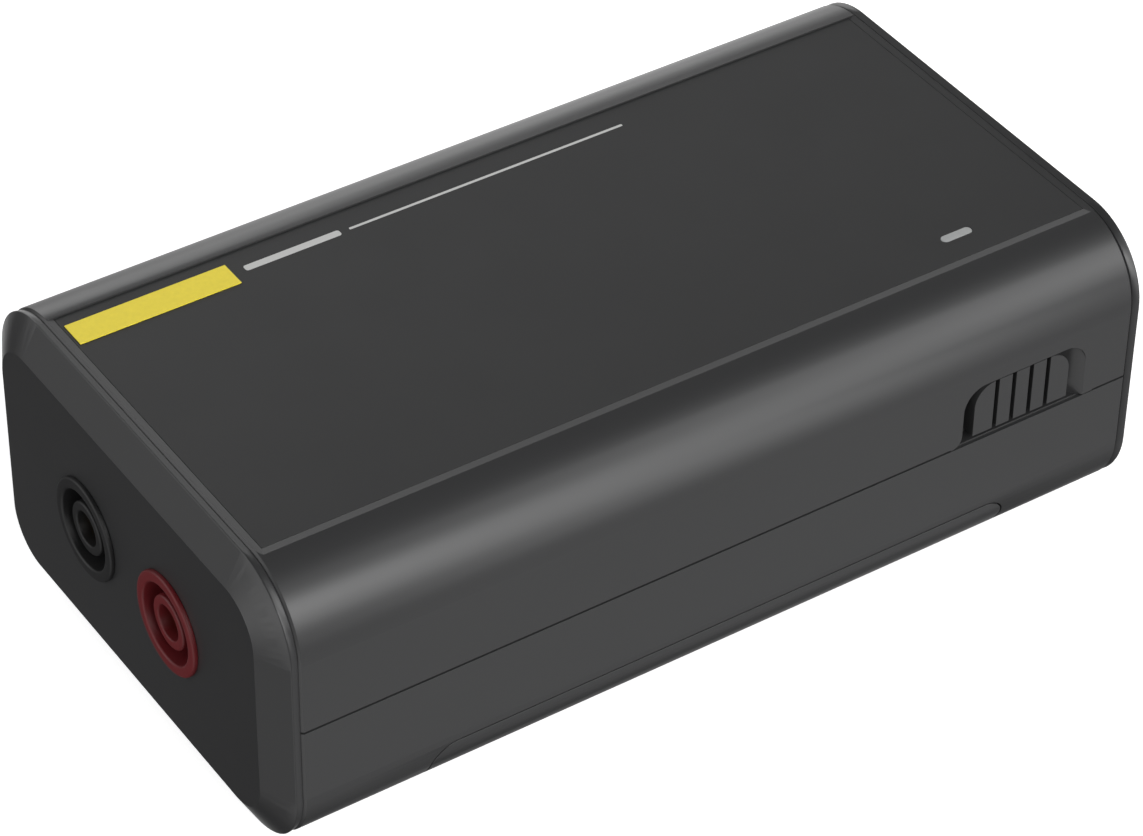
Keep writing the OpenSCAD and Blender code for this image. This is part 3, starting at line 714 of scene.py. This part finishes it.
# Pan-head screws by thread
M3 = {"head_r": 2.8, "head_h": 1.8, "shank_r": 1.5, "pitch": 0.5}
M2_5 = {"head_r": 2.25, "head_h": 1.5, "shank_r": 1.25, "pitch": 0.45}


def screw(base, axis, length, head_r, head_h, shank_r, pitch):
    """Screw with a domed head: base is the middle of the head's top, and axis points into the shank."""
    head = [(0, AXIS_R), (0.02, head_r * 0.45), (0.12, head_r * 0.72), (0.35, head_r * 0.92), (0.7, head_r),
            (head_h - 0.1, head_r), (head_h, head_r - 0.1), (head_h, shank_r), (head_h + 0.6, shank_r)]
    tail = [(head_h + length - 0.5, shank_r - 0.2), (head_h + length, shank_r * 0.55),
            (head_h + length, AXIS_R)]
    section = head + thread(head_h + 1.0, head_h + length - 0.7, shank_r, pitch, 0.25) + tail
    body = turned(section, base, axis, 40)
    return combine(body, cross_cutter(base, axis, head_r * 0.5, 0.7, 1.1), "DIFFERENCE")


def screw_group(node, places, axis, size, body="case"):
    """All the screws of one CAD node, as long as its box says."""
    low, high, _ = box(node)
    length = high.z - low.z - size["head_h"]
    top = low.z if axis.z > 0 else high.z
    piece = Piece(node, "cut", "zinc_steel", body)
    for x, y in places:
        piece.add(screw(Vector((x, y, top)), axis, length, **size))
    piece.done(sharp=35)


def corners(node, radius):
    """Centres of the four round features at the corners of a node's box."""
    low, high, _ = box(node)
    return [(x, y) for x in (low.x + radius, high.x - radius) for y in (low.y + radius, high.y - radius)]


def door_screw_places():
    """Centres of the two screws at the ends of the battery door."""
    low, high, middle = box("door_screws")
    return [(low.x + M3["head_r"], middle.y), (high.x - M3["head_r"], middle.y)]


FOOT_R = 3.5


def rubber_feet():
    """Round feet with a shallow dish in the sole."""
    low, high, _ = box("rubber_feet")
    height = high.z - low.z
    rim = rounded([(0, 0.4), (0, FOOT_R - 0.3, 0.3), (0.5, FOOT_R, 0.3), (height, FOOT_R, 0.1),
                   (height, 0.4)])
    dish = [(0.12, AXIS_R), (0.12, FOOT_R * 0.5), (0, FOOT_R * 0.62)]
    solid = dish + rim[2:-1] + [(height, AXIS_R)]
    piece = Piece("rubber_feet", "moulded", "foot_rubber")
    for x, y in corners("rubber_feet", FOOT_R):
        piece.add(turned(solid, Vector((x, y, low.z)), Z, 64))
    piece.done()


# ---------------------------------------------------------------- battery

CELL_L = 50.5
CELL_NUB_R = 2.75
CELL_NUB_H = 1.2
CELL_BAND = 9            # copper-coloured stretch of the wrap at the tip's end
PLATE_T = 0.4
PLATE_HALF = 4.5
SPRING_W = 8.0


def cell_radius():
    low, high, _ = box("battery_cells")
    return (high.z - low.z) / 2


def cell_rows():
    """y and z of each cell's axis and the way its tip points along x; neighbours point opposite ways."""
    low, high, middle = box("battery_cells")
    pitch = (high.y - low.y - 2 * cell_radius()) / 3
    return [(low.y + cell_radius() + pitch * i, middle.z, 1 - 2 * (i % 2)) for i in range(4)]


def cells_middle():
    """x halfway between the two rows of battery contacts."""
    return box("battery_contact_plates")[2].x


def battery_cells():
    """Wrapped cells with a crimped rim, a sunk tip end and a dished base."""
    low, high, _ = box("battery_contact_plates")
    tip = (high.x - low.x) / 2 - PLATE_T - 0.05
    radius = cell_radius()
    body = CELL_L - CELL_NUB_H
    section = rounded([
        (0, AXIS_R), (0, radius * 0.62, 0.1), (0.25, radius * 0.66, 0.1), (0.25, radius * 0.80, 0.1),
        (0, radius * 0.84, 0.15), (0, radius, 0.6), (body, radius, 0.7), (body, radius * 0.86, 0.2),
        (body - 0.35, radius * 0.82, 0.15), (body - 0.35, CELL_NUB_R + 0.9, 0.2),
        (body, CELL_NUB_R + 0.2, 0.2), (body, CELL_NUB_R, 0.05), (CELL_L, CELL_NUB_R, 0.35),
        (CELL_L, AXIS_R)])
    piece = Piece("battery_cells", "wrapped", "cell_wrap")
    for y, z, way in cell_rows():
        base = Vector((cells_middle() + way * (tip - CELL_L), y, z))

        def paint(point):
            along = (point.x - base.x) * way
            away = math.hypot(point.y - base.y, point.z - base.z)
            if away < radius * 0.9:
                return "tinned_steel" if away < radius * 0.82 else "insulator"
            return "copper" if along > body - CELL_BAND else None
        piece.add(turned(section, base, X * way, 72), paint=paint)
    piece.done()


def leaf_springs():
    """Spring strips folded over at the top, smooth at each bend."""
    low, high, _ = box("battery_leaf_springs")
    half_x = (high.x - low.x) / 2
    touch = 2 * half_x - 0.95 - CELL_L
    path = rounded([(0.2, -5), (0.2, 5.0, 0.5), (touch - 0.25, 1.0, 1.6), (2.65, -4.1)], 6)
    piece = Piece("battery_leaf_springs", "bent", "spring_steel")
    for y, z, way in cell_rows():
        base = cells_middle() - way * half_x
        piece.add(ribbon(path, PLATE_T, SPRING_W, lambda u, v, w: (base + way * u, y + w, z + v)))
    piece.done()


def contact_plates():
    """Square plates with rounded corners and eased rims."""
    low, high, middle = box("battery_contact_plates")
    outline = rectangle(-PLATE_HALF, PLATE_HALF, -PLATE_HALF, PLATE_HALF, 0.8)
    piece = Piece("battery_contact_plates", "pressed", "spring_steel")
    for y, z, way in cell_rows():
        outer = middle.x + way * (high.x - low.x) / 2
        piece.add(slab(outline, 0, PLATE_T, lambda u, v, w: (outer - way * w, y + u, z + v), 0.06))
    piece.done()


# ---------------------------------------------------------------- circuit board

RESISTOR_L = 11.0
RESISTOR_R = 1.7
BANDS = ((1.0, 1.7, "resistor_band"), (3.4, 4.0, "resistor_dark"),
         (4.9, 5.5, "resistor_band"), (9.2, 10.0, "resistor_dark"))
FIRST_ROW = 4.6          # distance of the innermost resistors from the middle
LEAD_R = 0.35
LEAD_REACH = 2.0


def resistor_rows():
    """y of each divider resistor, four on each side of the middle."""
    pitch = (box("divider_resistors")[1].y - RESISTOR_R - FIRST_ROW) / 3
    return [side * (FIRST_ROW + pitch * i) for side in (-1, 1) for i in range(4)]


def resistors():
    """Lacquered film resistors with swollen ends, colour bands, bent leads and solder cones."""
    low, _, middle = box("divider_resistors")
    length, waist, swell = RESISTOR_L, RESISTOR_R * 0.88, 2.2
    height = low.z + RESISTOR_R + 0.3
    section = rounded([(0, LEAD_R), (0, RESISTOR_R, 0.5), (swell, RESISTOR_R, 0.9), (swell + 0.5, waist, 0.9),
                       (length - swell - 0.5, waist, 0.9), (length - swell, RESISTOR_R, 0.9),
                       (length, RESISTOR_R, 0.5), (length, LEAD_R)], 5)
    start = middle.x - length / 2

    def bands(point):
        for first, last, look in BANDS:
            if first < point.x - start < last:
                return look
    cone = [(0, AXIS_R), (0, 0.95), (0.15, 0.8), (0.5, 0.45), (0.9, LEAD_R), (0.9, AXIS_R)]
    piece = Piece("divider_resistors", "lacquered", "resistor")
    for y in resistor_rows():
        body = turned(stations(section, 0.25), Vector((start, y, height)), X, 32)
        piece.add(body, paint=bands)
        for end in (-1, 1):
            near = middle.x + end * (length / 2 - 0.2)
            foot = middle.x + end * (length / 2 + LEAD_REACH)
            lead = tube([(near, y, height), (foot, y, height), (foot, y, low.z)], LEAD_R, 10, 0.7)
            piece.add(lead, "solder")
            piece.add(turned(cone, Vector((foot, y, low.z)), Z, 16), "solder")
    piece.done()


ROTOR_R = 2.0


def trimmers():
    """Ceramic trimmers: a round stator and a slotted rotor."""
    low, high, middle = box("trimmer_capacitors")
    radius = (high.x - low.x) / 2
    height = high.z - low.z
    top = height * 0.76
    stator = rounded([(0, AXIS_R), (0, radius, 0.15), (top, radius, 0.25), (top, AXIS_R)])
    rotor = [(height * 0.7, AXIS_R), (height * 0.7, ROTOR_R), (height - 0.1, ROTOR_R),
             (height, ROTOR_R - 0.1), (height, AXIS_R)]
    piece = Piece("trimmer_capacitors", "turned", "trimmer")
    for y in (low.y + radius, high.y - radius):
        base = Vector((middle.x, y, low.z))
        piece.add(turned(stator, base, Z, 48))
        slot = block((middle.x - 1.5, y - 0.3, high.z - 0.6), (middle.x + 1.5, y + 0.3, high.z + 1))
        disc = combine(turned(rotor, base, Z, 40), slot, "DIFFERENCE")
        piece.add(disc, "contact_brass")
    piece.done(sharp=35)


CHIP_L = 5.0
CHIP_W = 4.0
LEG_REACH = 1.0


def chips():
    """Small outline chips: tapered bodies, a pin mark and bent gull-wing legs."""
    low, high, middle = box("amplifier_chips")
    half_l, half_w, legs = CHIP_L / 2, CHIP_W / 2, 4
    places = [(low.x + half_l, low.y + half_w + LEG_REACH), (low.x + half_l, high.y - half_w - LEG_REACH),
              (high.x - half_l, middle.y)]
    layers = ((0.2, -0.12), (0.85, 0.0), (1.05, 0.0), (1.68, -0.14), (1.7, -0.18))
    bend = rounded([(half_w - 0.15, 0.95), (half_w + 0.35, 0.95, 0.15), (half_w + 0.5, 0.1, 0.15),
                    (half_w + LEG_REACH, 0.1)], 3)
    piece = Piece("amplifier_chips", "legged", "chip_black")
    for x, y in places:
        rings = []
        for z, grow in layers:
            outline = rectangle(-half_l - grow, half_l + grow, -half_w - grow, half_w + grow, 0.12, 2)
            rings.append([(x + u, y + v, low.z + z) for u, v in outline])
        mark = turned([(0, AXIS_R), (0, 0.35), (1, 0.35), (1, AXIS_R)],
                      Vector((x - half_l + 0.8, y - half_w + 0.8, low.z + 1.62)), Z, 20)
        piece.add(combine(loft(rings), mark, "DIFFERENCE"))
        for side in (-1, 1):
            for i in range(legs):
                leg_x = x - half_l + CHIP_L * (i + 0.5) / legs
                leg = ribbon(bend, 0.18, 0.42,
                             lambda u, v, w: (leg_x + w, y + side * u, low.z + v))
                piece.add(leg, "solder")
    piece.done(sharp=35)


def smoothing_capacitors():
    """Surface-mount cans: foot with clipped corners, rolled crimp, scored vent and dark polarity mark."""
    low, high, middle = box("smoothing_capacitors")
    radius = (high.x - low.x) / 2
    height = high.z - low.z
    half, clip = radius * 0.97, 1.1
    foot = [(-half, -half + clip), (-half + clip, -half), (half, -half), (half, half),
            (-half + clip, half), (-half, half - clip)]
    can = rounded([(1.0, AXIS_R), (1.0, radius * 0.9, 0.1), (1.5, radius * 0.93, 0.2),
                   (2.0, radius * 0.84, 0.3), (2.5, radius * 0.96, 0.3), (height, radius * 0.96, 0.45),
                   (height, AXIS_R)])

    def polarity(point):
        return "chip_black" if point.z > high.z - 0.05 and point.x < middle.x - radius * 0.5 else None
    piece = Piece("smoothing_capacitors", "crimped", "capacitor_can")
    for y in (low.y + radius, high.y - radius):
        base = Vector((middle.x, y, low.z))
        piece.add(slab(foot, 0, 1.1, lambda u, v, w: base + Vector((u, v, w)), 0.08), "chip_black")
        vent = cross_cutter(base + Z * height, -Z, radius * 0.55, 0.18, 0.12)
        solid = combine(turned(can, base, Z, 56), vent, "DIFFERENCE")
        piece.add(solid, paint=polarity)
    piece.done(sharp=35)


def main_board():
    """Finish of the board, plated rings round its mounting holes, and solder pads under the leads."""
    low, high, _ = box("main_board")
    divider = box("divider_resistors")
    NODES["main_board"].data.materials[0] = LOOKS["board"]
    piece = Piece("main_board", "populated", "tinned_steel", replaces=False)
    ring = [(-0.02, 1.36), (0.04, 1.36), (0.04, 2.6), (-0.02, 2.6)]
    for x, y in corners("board_screws", M2_5["head_r"]):
        for z, up in ((high.z, 1), (low.z, -1)):
            piece.add(turned(ring, Vector((x, y, z)), Z * up, 32, closed=True), "solder")
    pad = [(-0.02, AXIS_R), (-0.02, 1.0), (0.03, 1.0), (0.03, AXIS_R)]
    for x in (divider[0].x + LEAD_R, divider[1].x - LEAD_R):
        for y in resistor_rows():
            piece.add(turned(pad, Vector((x, y, low.z)), -Z, 20), "solder")
    piece.done()


# ---------------------------------------------------------------- output jack and power inlet

JACK_BARREL_R = 4.8
JACK_BORE_R = 4.05
JACK_GRIP = 4.2          # front stretch of the barrel, where the lugs are
JACK_FLANGE_T = 1.8
JACK_STEP = 2.6          # end of the groove behind the barrel
JACK_SEAT = 1.6          # where the insulator's shoulder lies, from the cap's face
JACK_TAIL_R = 4.75       # threaded tail
JACK_TAIL_BORE_R = 3.3


def output_jack():
    """Turned bayonet jack: eased flange, stepped barrel with two lugs, threaded tail."""
    low, high, middle = box("output_jack_body")
    face = box("rear_end_cap")[1].x
    length = high.x - face
    tail = low.x - face
    flange_r = (high.y - low.y) / 2
    base = Vector((face, middle.y, middle.z))
    wide, groove = JACK_BARREL_R + 0.2, JACK_BARREL_R - 0.15
    front = rounded([
        (tail, JACK_TAIL_BORE_R), (JACK_SEAT, JACK_TAIL_BORE_R, 0.1), (JACK_SEAT, JACK_BORE_R, 0.2),
        (length, JACK_BORE_R, 0.35), (length, JACK_BARREL_R, 0.22), (length - JACK_GRIP, JACK_BARREL_R, 0.1),
        (length - JACK_GRIP, wide, 0.1), (JACK_STEP, wide, 0.15), (JACK_STEP, groove, 0.1),
        (JACK_FLANGE_T, groove, 0.1), (JACK_FLANGE_T, flange_r, 0.3), (0, flange_r, 0.15),
        (0, JACK_TAIL_R), (-0.5, JACK_TAIL_R)])
    back = thread(tail + 0.9, -0.9, JACK_TAIL_R, pitch=0.8, depth=0.3)[::-1]
    section = front + back + [(tail, JACK_TAIL_R - 0.35)]
    body = turned(section, base, X, closed=True)
    lug = [(4.3, AXIS_R), (4.3, 0.95), (5.42, 0.95), (5.55, 0.87), (5.6, 0.75), (5.6, AXIS_R)]
    for way in (-1, 1):
        stud = turned(lug, base + X * (length - JACK_GRIP - 1.1), Y * way, 32)
        body = combine(body, stud, "UNION")
    Piece("output_jack_body", "turned", "nickel").add(body).done(sharp=32)


PIN_R = 1.1
PIN_BORE_R = 0.7
PIN_BORE_L = 5.0
PIN_SLOT_L = 3.6


def jack_inside():
    """White insulator with a stepped nose, and the slotted gold centre contact."""
    low, high, _ = box("output_jack_insulator")
    length = high.x - low.x
    face = box("rear_end_cap")[1].x
    step = face + JACK_SEAT - low.x
    hole, nose, wide = PIN_R + PLAY, 2.35, JACK_TAIL_BORE_R - PLAY
    section = rounded([(0, hole, 0.1), (length, hole, 0.25), (length, nose, 0.25), (step, nose, 0.1),
                       (step, wide, 0.1), (0, wide, 0.15)])
    sleeve = turned(section, near_face("output_jack_insulator"), X, 64, closed=True)
    Piece("output_jack_insulator", "turned", "insulator").add(sleeve).done()
    low, high, middle = box("output_jack_contact")
    length = high.x - low.x
    mouth = length - PIN_BORE_L
    pin = turned([(0, AXIS_R), (0, PIN_R - 0.25), (0.25, PIN_R), (length - 0.3, PIN_R),
                  (length, PIN_R - 0.2), (length - 0.25, PIN_BORE_R), (mouth, PIN_BORE_R),
                  (mouth - 0.3, AXIS_R)], near_face("output_jack_contact"), X, 40)
    for half_y, half_z in ((0.1, PIN_R + 0.2), (PIN_R + 0.2, 0.1)):
        cut = block((high.x - PIN_SLOT_L, middle.y - half_y, middle.z - half_z),
                    (high.x + 1, middle.y + half_y, middle.z + half_z))
        pin = combine(pin, cut, "DIFFERENCE")
    Piece("output_jack_contact", "slotted", "contact_brass").add(pin).done(sharp=32)


WASHER_TEETH = 12


def jack_hardware():
    """Hexagon nut and the lock washer with inner teeth."""
    low, high, _ = box("output_jack_nut")
    section = hex_section(min(high.y - low.y, high.z - low.z) / 2, high.x - low.x, JACK_TAIL_R + PLAY)
    nut = turned(section, near_face("output_jack_nut"), X, 72, closed=True)
    Piece("output_jack_nut", "turned", "nickel").add(nut).done(sharp=20)
    low, high, _ = box("output_jack_washer")
    radius = (high.y - low.y) / 2
    thick = high.x - low.x
    tooth_foot = 5.9

    def inner(depth):
        def at(turn):
            bite = (turn * WASHER_TEETH / (2 * math.pi)) % 1.0
            return depth, JACK_TAIL_R + (0.7 if bite > 0.5 else 0.1)
        return at
    section = [inner(0.05), inner(thick - 0.05), (thick - 0.05, tooth_foot), (thick, radius - 0.1),
               (thick - 0.1, radius), (0.1, radius), (0, radius - 0.1), (0.05, tooth_foot)]
    washer = turned(section, near_face("output_jack_washer"), X, closed=True)
    Piece("output_jack_washer", "toothed", "nickel").add(washer).done(sharp=30)


INLET_T = 0.3
TONGUE_HALF_W = 3.35
TONGUE_HALF_T = 0.35
STRIPS = 8               # contact strips on each side of the tongue
STRIP_PITCH = 0.8
STRIP_HALF_W = 0.14
STRIP_T = 0.03


def power_inlet():
    """Drawn steel shell with a rolled mouth, and a tongue with contact strips."""
    low, high, middle = box("power_inlet")
    width, height = high.y - low.y, high.z - low.z
    length = high.x - low.x
    rings = []
    profile = [(0, 0.15), (0.15, 0), (length - 0.12, 0), (length - 0.03, 0.05), (length, 0.15),
               (length - 0.05, 0.25), (length - 0.2, INLET_T), (1.0, INLET_T)]
    for along, inset in profile:
        rings.append([(low.x + along, middle.y + u, middle.z + v) for u, v in stadium(width, height, inset)])
    piece = Piece("power_inlet", "drawn", "tinned_steel").add(loft(rings))
    tongue = block((low.x + 0.9, middle.y - TONGUE_HALF_W, middle.z - TONGUE_HALF_T),
                   (high.x - 0.7, middle.y + TONGUE_HALF_W, middle.z + TONGUE_HALF_T), 0.1)
    piece.add(tongue, "chip_black")
    for i in range(STRIPS):
        y = middle.y + STRIP_PITCH * (i - (STRIPS - 1) / 2)
        for bottom in (middle.z - TONGUE_HALF_T - STRIP_T, middle.z + TONGUE_HALF_T):
            strip = block((high.x - 4.2, y - STRIP_HALF_W, bottom),
                          (high.x - 1.1, y + STRIP_HALF_W, bottom + STRIP_T))
            piece.add(strip, "contact_brass")
    piece.done(sharp=35)


# ---------------------------------------------------------------- label print

PRINT_T = 0.02
RULES = ((0, 12.5, 0.5), (13.7, 51, 0.18))  # start, end and half the width of each stroke


def label_rule():
    """Plain white rule printed on the label behind the badge, heavy at its start."""
    badge = box("name_badge")
    start = badge[1].x + 1.6
    middle = badge[0].y + 2.1
    top = box("top_label")[1].z
    piece = Piece("label", "rule", "label_film", replaces=False)
    for u0, u1, half in RULES:
        outline = rectangle(start + u0, start + u1, middle - half, middle + half, half * 0.6)
        film = slab(outline, top - 0.01, top + PRINT_T, lambda u, v, w: (u, v, w))
        piece.add(film, "print_white")
    piece.done()


input_socket("red")
input_socket("black")
contact_sleeves()
socket_nuts()
input_wire("red")
input_wire("black")
screw_group("case_screws", corners("case_screws", M3["head_r"]), Z, M3)
screw_group("door_screws", door_screw_places(), Z, M3, "door")
screw_group("board_screws", corners("board_screws", M2_5["head_r"]), -Z, M2_5)
rubber_feet()
battery_cells()
leaf_springs()
contact_plates()
resistors()
trimmers()
chips()
smoothing_capacitors()
main_board()
output_jack()
jack_inside()
jack_hardware()
power_inlet()
label_rule()


# ---------------------------------------------------------------- stage, light, camera

PLAIN_LEVEL = 0.015
GLOWS = [
    # azimuth, elevation, sharpness, level: boxes in front and at the side
    (0, 28, 25, 7.6),
    (25, -4, 40, 1.9),
    (26, 13, 60, 2.9),
    (30, 31, 60, 1.9),
    (40, 48, 60, 1.7),
    (60, 28, 25, 4.4),
    (225, 25, 10, 1.6),
    (270, 0, 10, 1.9),
    # white sweep behind the object, up to 35 degrees
    (138, 33, 120, 2.2),
    (153, 6, 40, 1.4),
    (163, 30, 120, 3.5),
    (167, 18, 60, 1.7),
    # light thrown back by the table
    (34, -40, 10, 0.47),
    (150, -30, 10, 1.1),
    (304, -40, 10, 0.93),
]
BACKDROP = 0.9           # tone of the studio where it is seen directly
FLOOR_GLOW = 0.8
FLOOR_REACH = 3.0        # metres from the middle to each side

VIEW_AZIMUTH = -33.986
VIEW_ELEVATION = 39.705
VIEW_ROLL = 0.839
VIEW_DISTANCE = 506.3
VIEW_LENS = 138.33
AIM_OFFSET = Vector((-1.26, -1.39, -2.24))  # from the middle of the case to the point aimed at


def direction(azimuth, elevation):
    """Unit vector; azimuth 0 points to -Y and 90 to +X, as the camera's does."""
    a, e = math.radians(azimuth), math.radians(elevation)
    return Vector((math.sin(a) * math.cos(e), -math.cos(a) * math.cos(e), math.sin(e)))


def floor():
    """Plain pale floor that shows from above only and leaves the light on the object alone."""
    bpy.ops.mesh.primitive_plane_add(size=2 * FLOOR_REACH)
    plane = bpy.context.object
    plane.name = "floor"
    look = Look("floor", (0.8, 0.8, 0.8), 0.8, Emission_Color=(1, 1, 1, 1), Emission_Strength=FLOOR_GLOW)
    look.mottle(look.noise(300, 2), 0.01)
    below = look.node("ShaderNodeNewGeometry").outputs["Backfacing"]
    clear = look.node("ShaderNodeBsdfTransparent")
    choose(look.tree, below, look.shader.outputs[0], clear.outputs[0], "Material Output")
    plane.data.materials.append(look.material)
    plane.visible_glossy = False
    plane.visible_diffuse = False
    plane.visible_shadow = False


def surroundings():
    """Soft white studio all round: a plain level plus broad glows; seen directly, it is one pale tone."""
    world = bpy.data.worlds.new("studio")
    bpy.context.scene.world = world
    world.use_nodes = True
    tree = world.node_tree
    nodes, link = tree.nodes, tree.links.new
    place = nodes.new("ShaderNodeTexCoord").outputs["Generated"]
    total = PLAIN_LEVEL
    for azimuth, elevation, sharpness, level in GLOWS:
        toward = nodes.new("ShaderNodeVectorMath")
        toward.operation = "DOT_PRODUCT"
        link(place, toward.inputs[0])
        toward.inputs[1].default_value = direction(azimuth, elevation)
        facing = calculate(tree, "MAXIMUM", toward.outputs["Value"], 0.0)
        total = calculate(tree, "MULTIPLY_ADD", calculate(tree, "POWER", facing, sharpness), level, total)
    light = nodes["Background"]
    light.inputs["Color"].default_value = (1, 1, 1, 1)
    link(total, light.inputs["Strength"])
    backdrop = nodes.new("ShaderNodeBackground")
    backdrop.inputs["Color"].default_value = (BACKDROP, BACKDROP, BACKDROP, 1)
    seen = nodes.new("ShaderNodeLightPath").outputs["Is Camera Ray"]
    choose(tree, seen, light.outputs[0], backdrop.outputs[0], "World Output")


def camera():
    """Long lens, aimed just below the middle of the case."""
    top = box("top_shell")
    bottom = box("bottom_shell")
    middle = Vector((top[2].x, top[2].y, (bottom[0].z + top[1].z) / 2))
    back = direction(VIEW_AZIMUTH, VIEW_ELEVATION)
    data = bpy.data.cameras.new("camera")
    data.lens = VIEW_LENS
    eye = bpy.data.objects.new("camera", data)
    bpy.context.scene.collection.objects.link(eye)
    aim = back.to_track_quat("Z", "Y").to_matrix().to_4x4()
    roll = Matrix.Rotation(math.radians(VIEW_ROLL), 4, "Z")
    eye.matrix_world = Matrix.Translation((middle + AIM_OFFSET + back * VIEW_DISTANCE) * MM) @ aim @ roll
    bpy.context.scene.camera = eye


floor()
surroundings()
camera()
bpy.context.scene.view_settings.view_transform = "Standard"
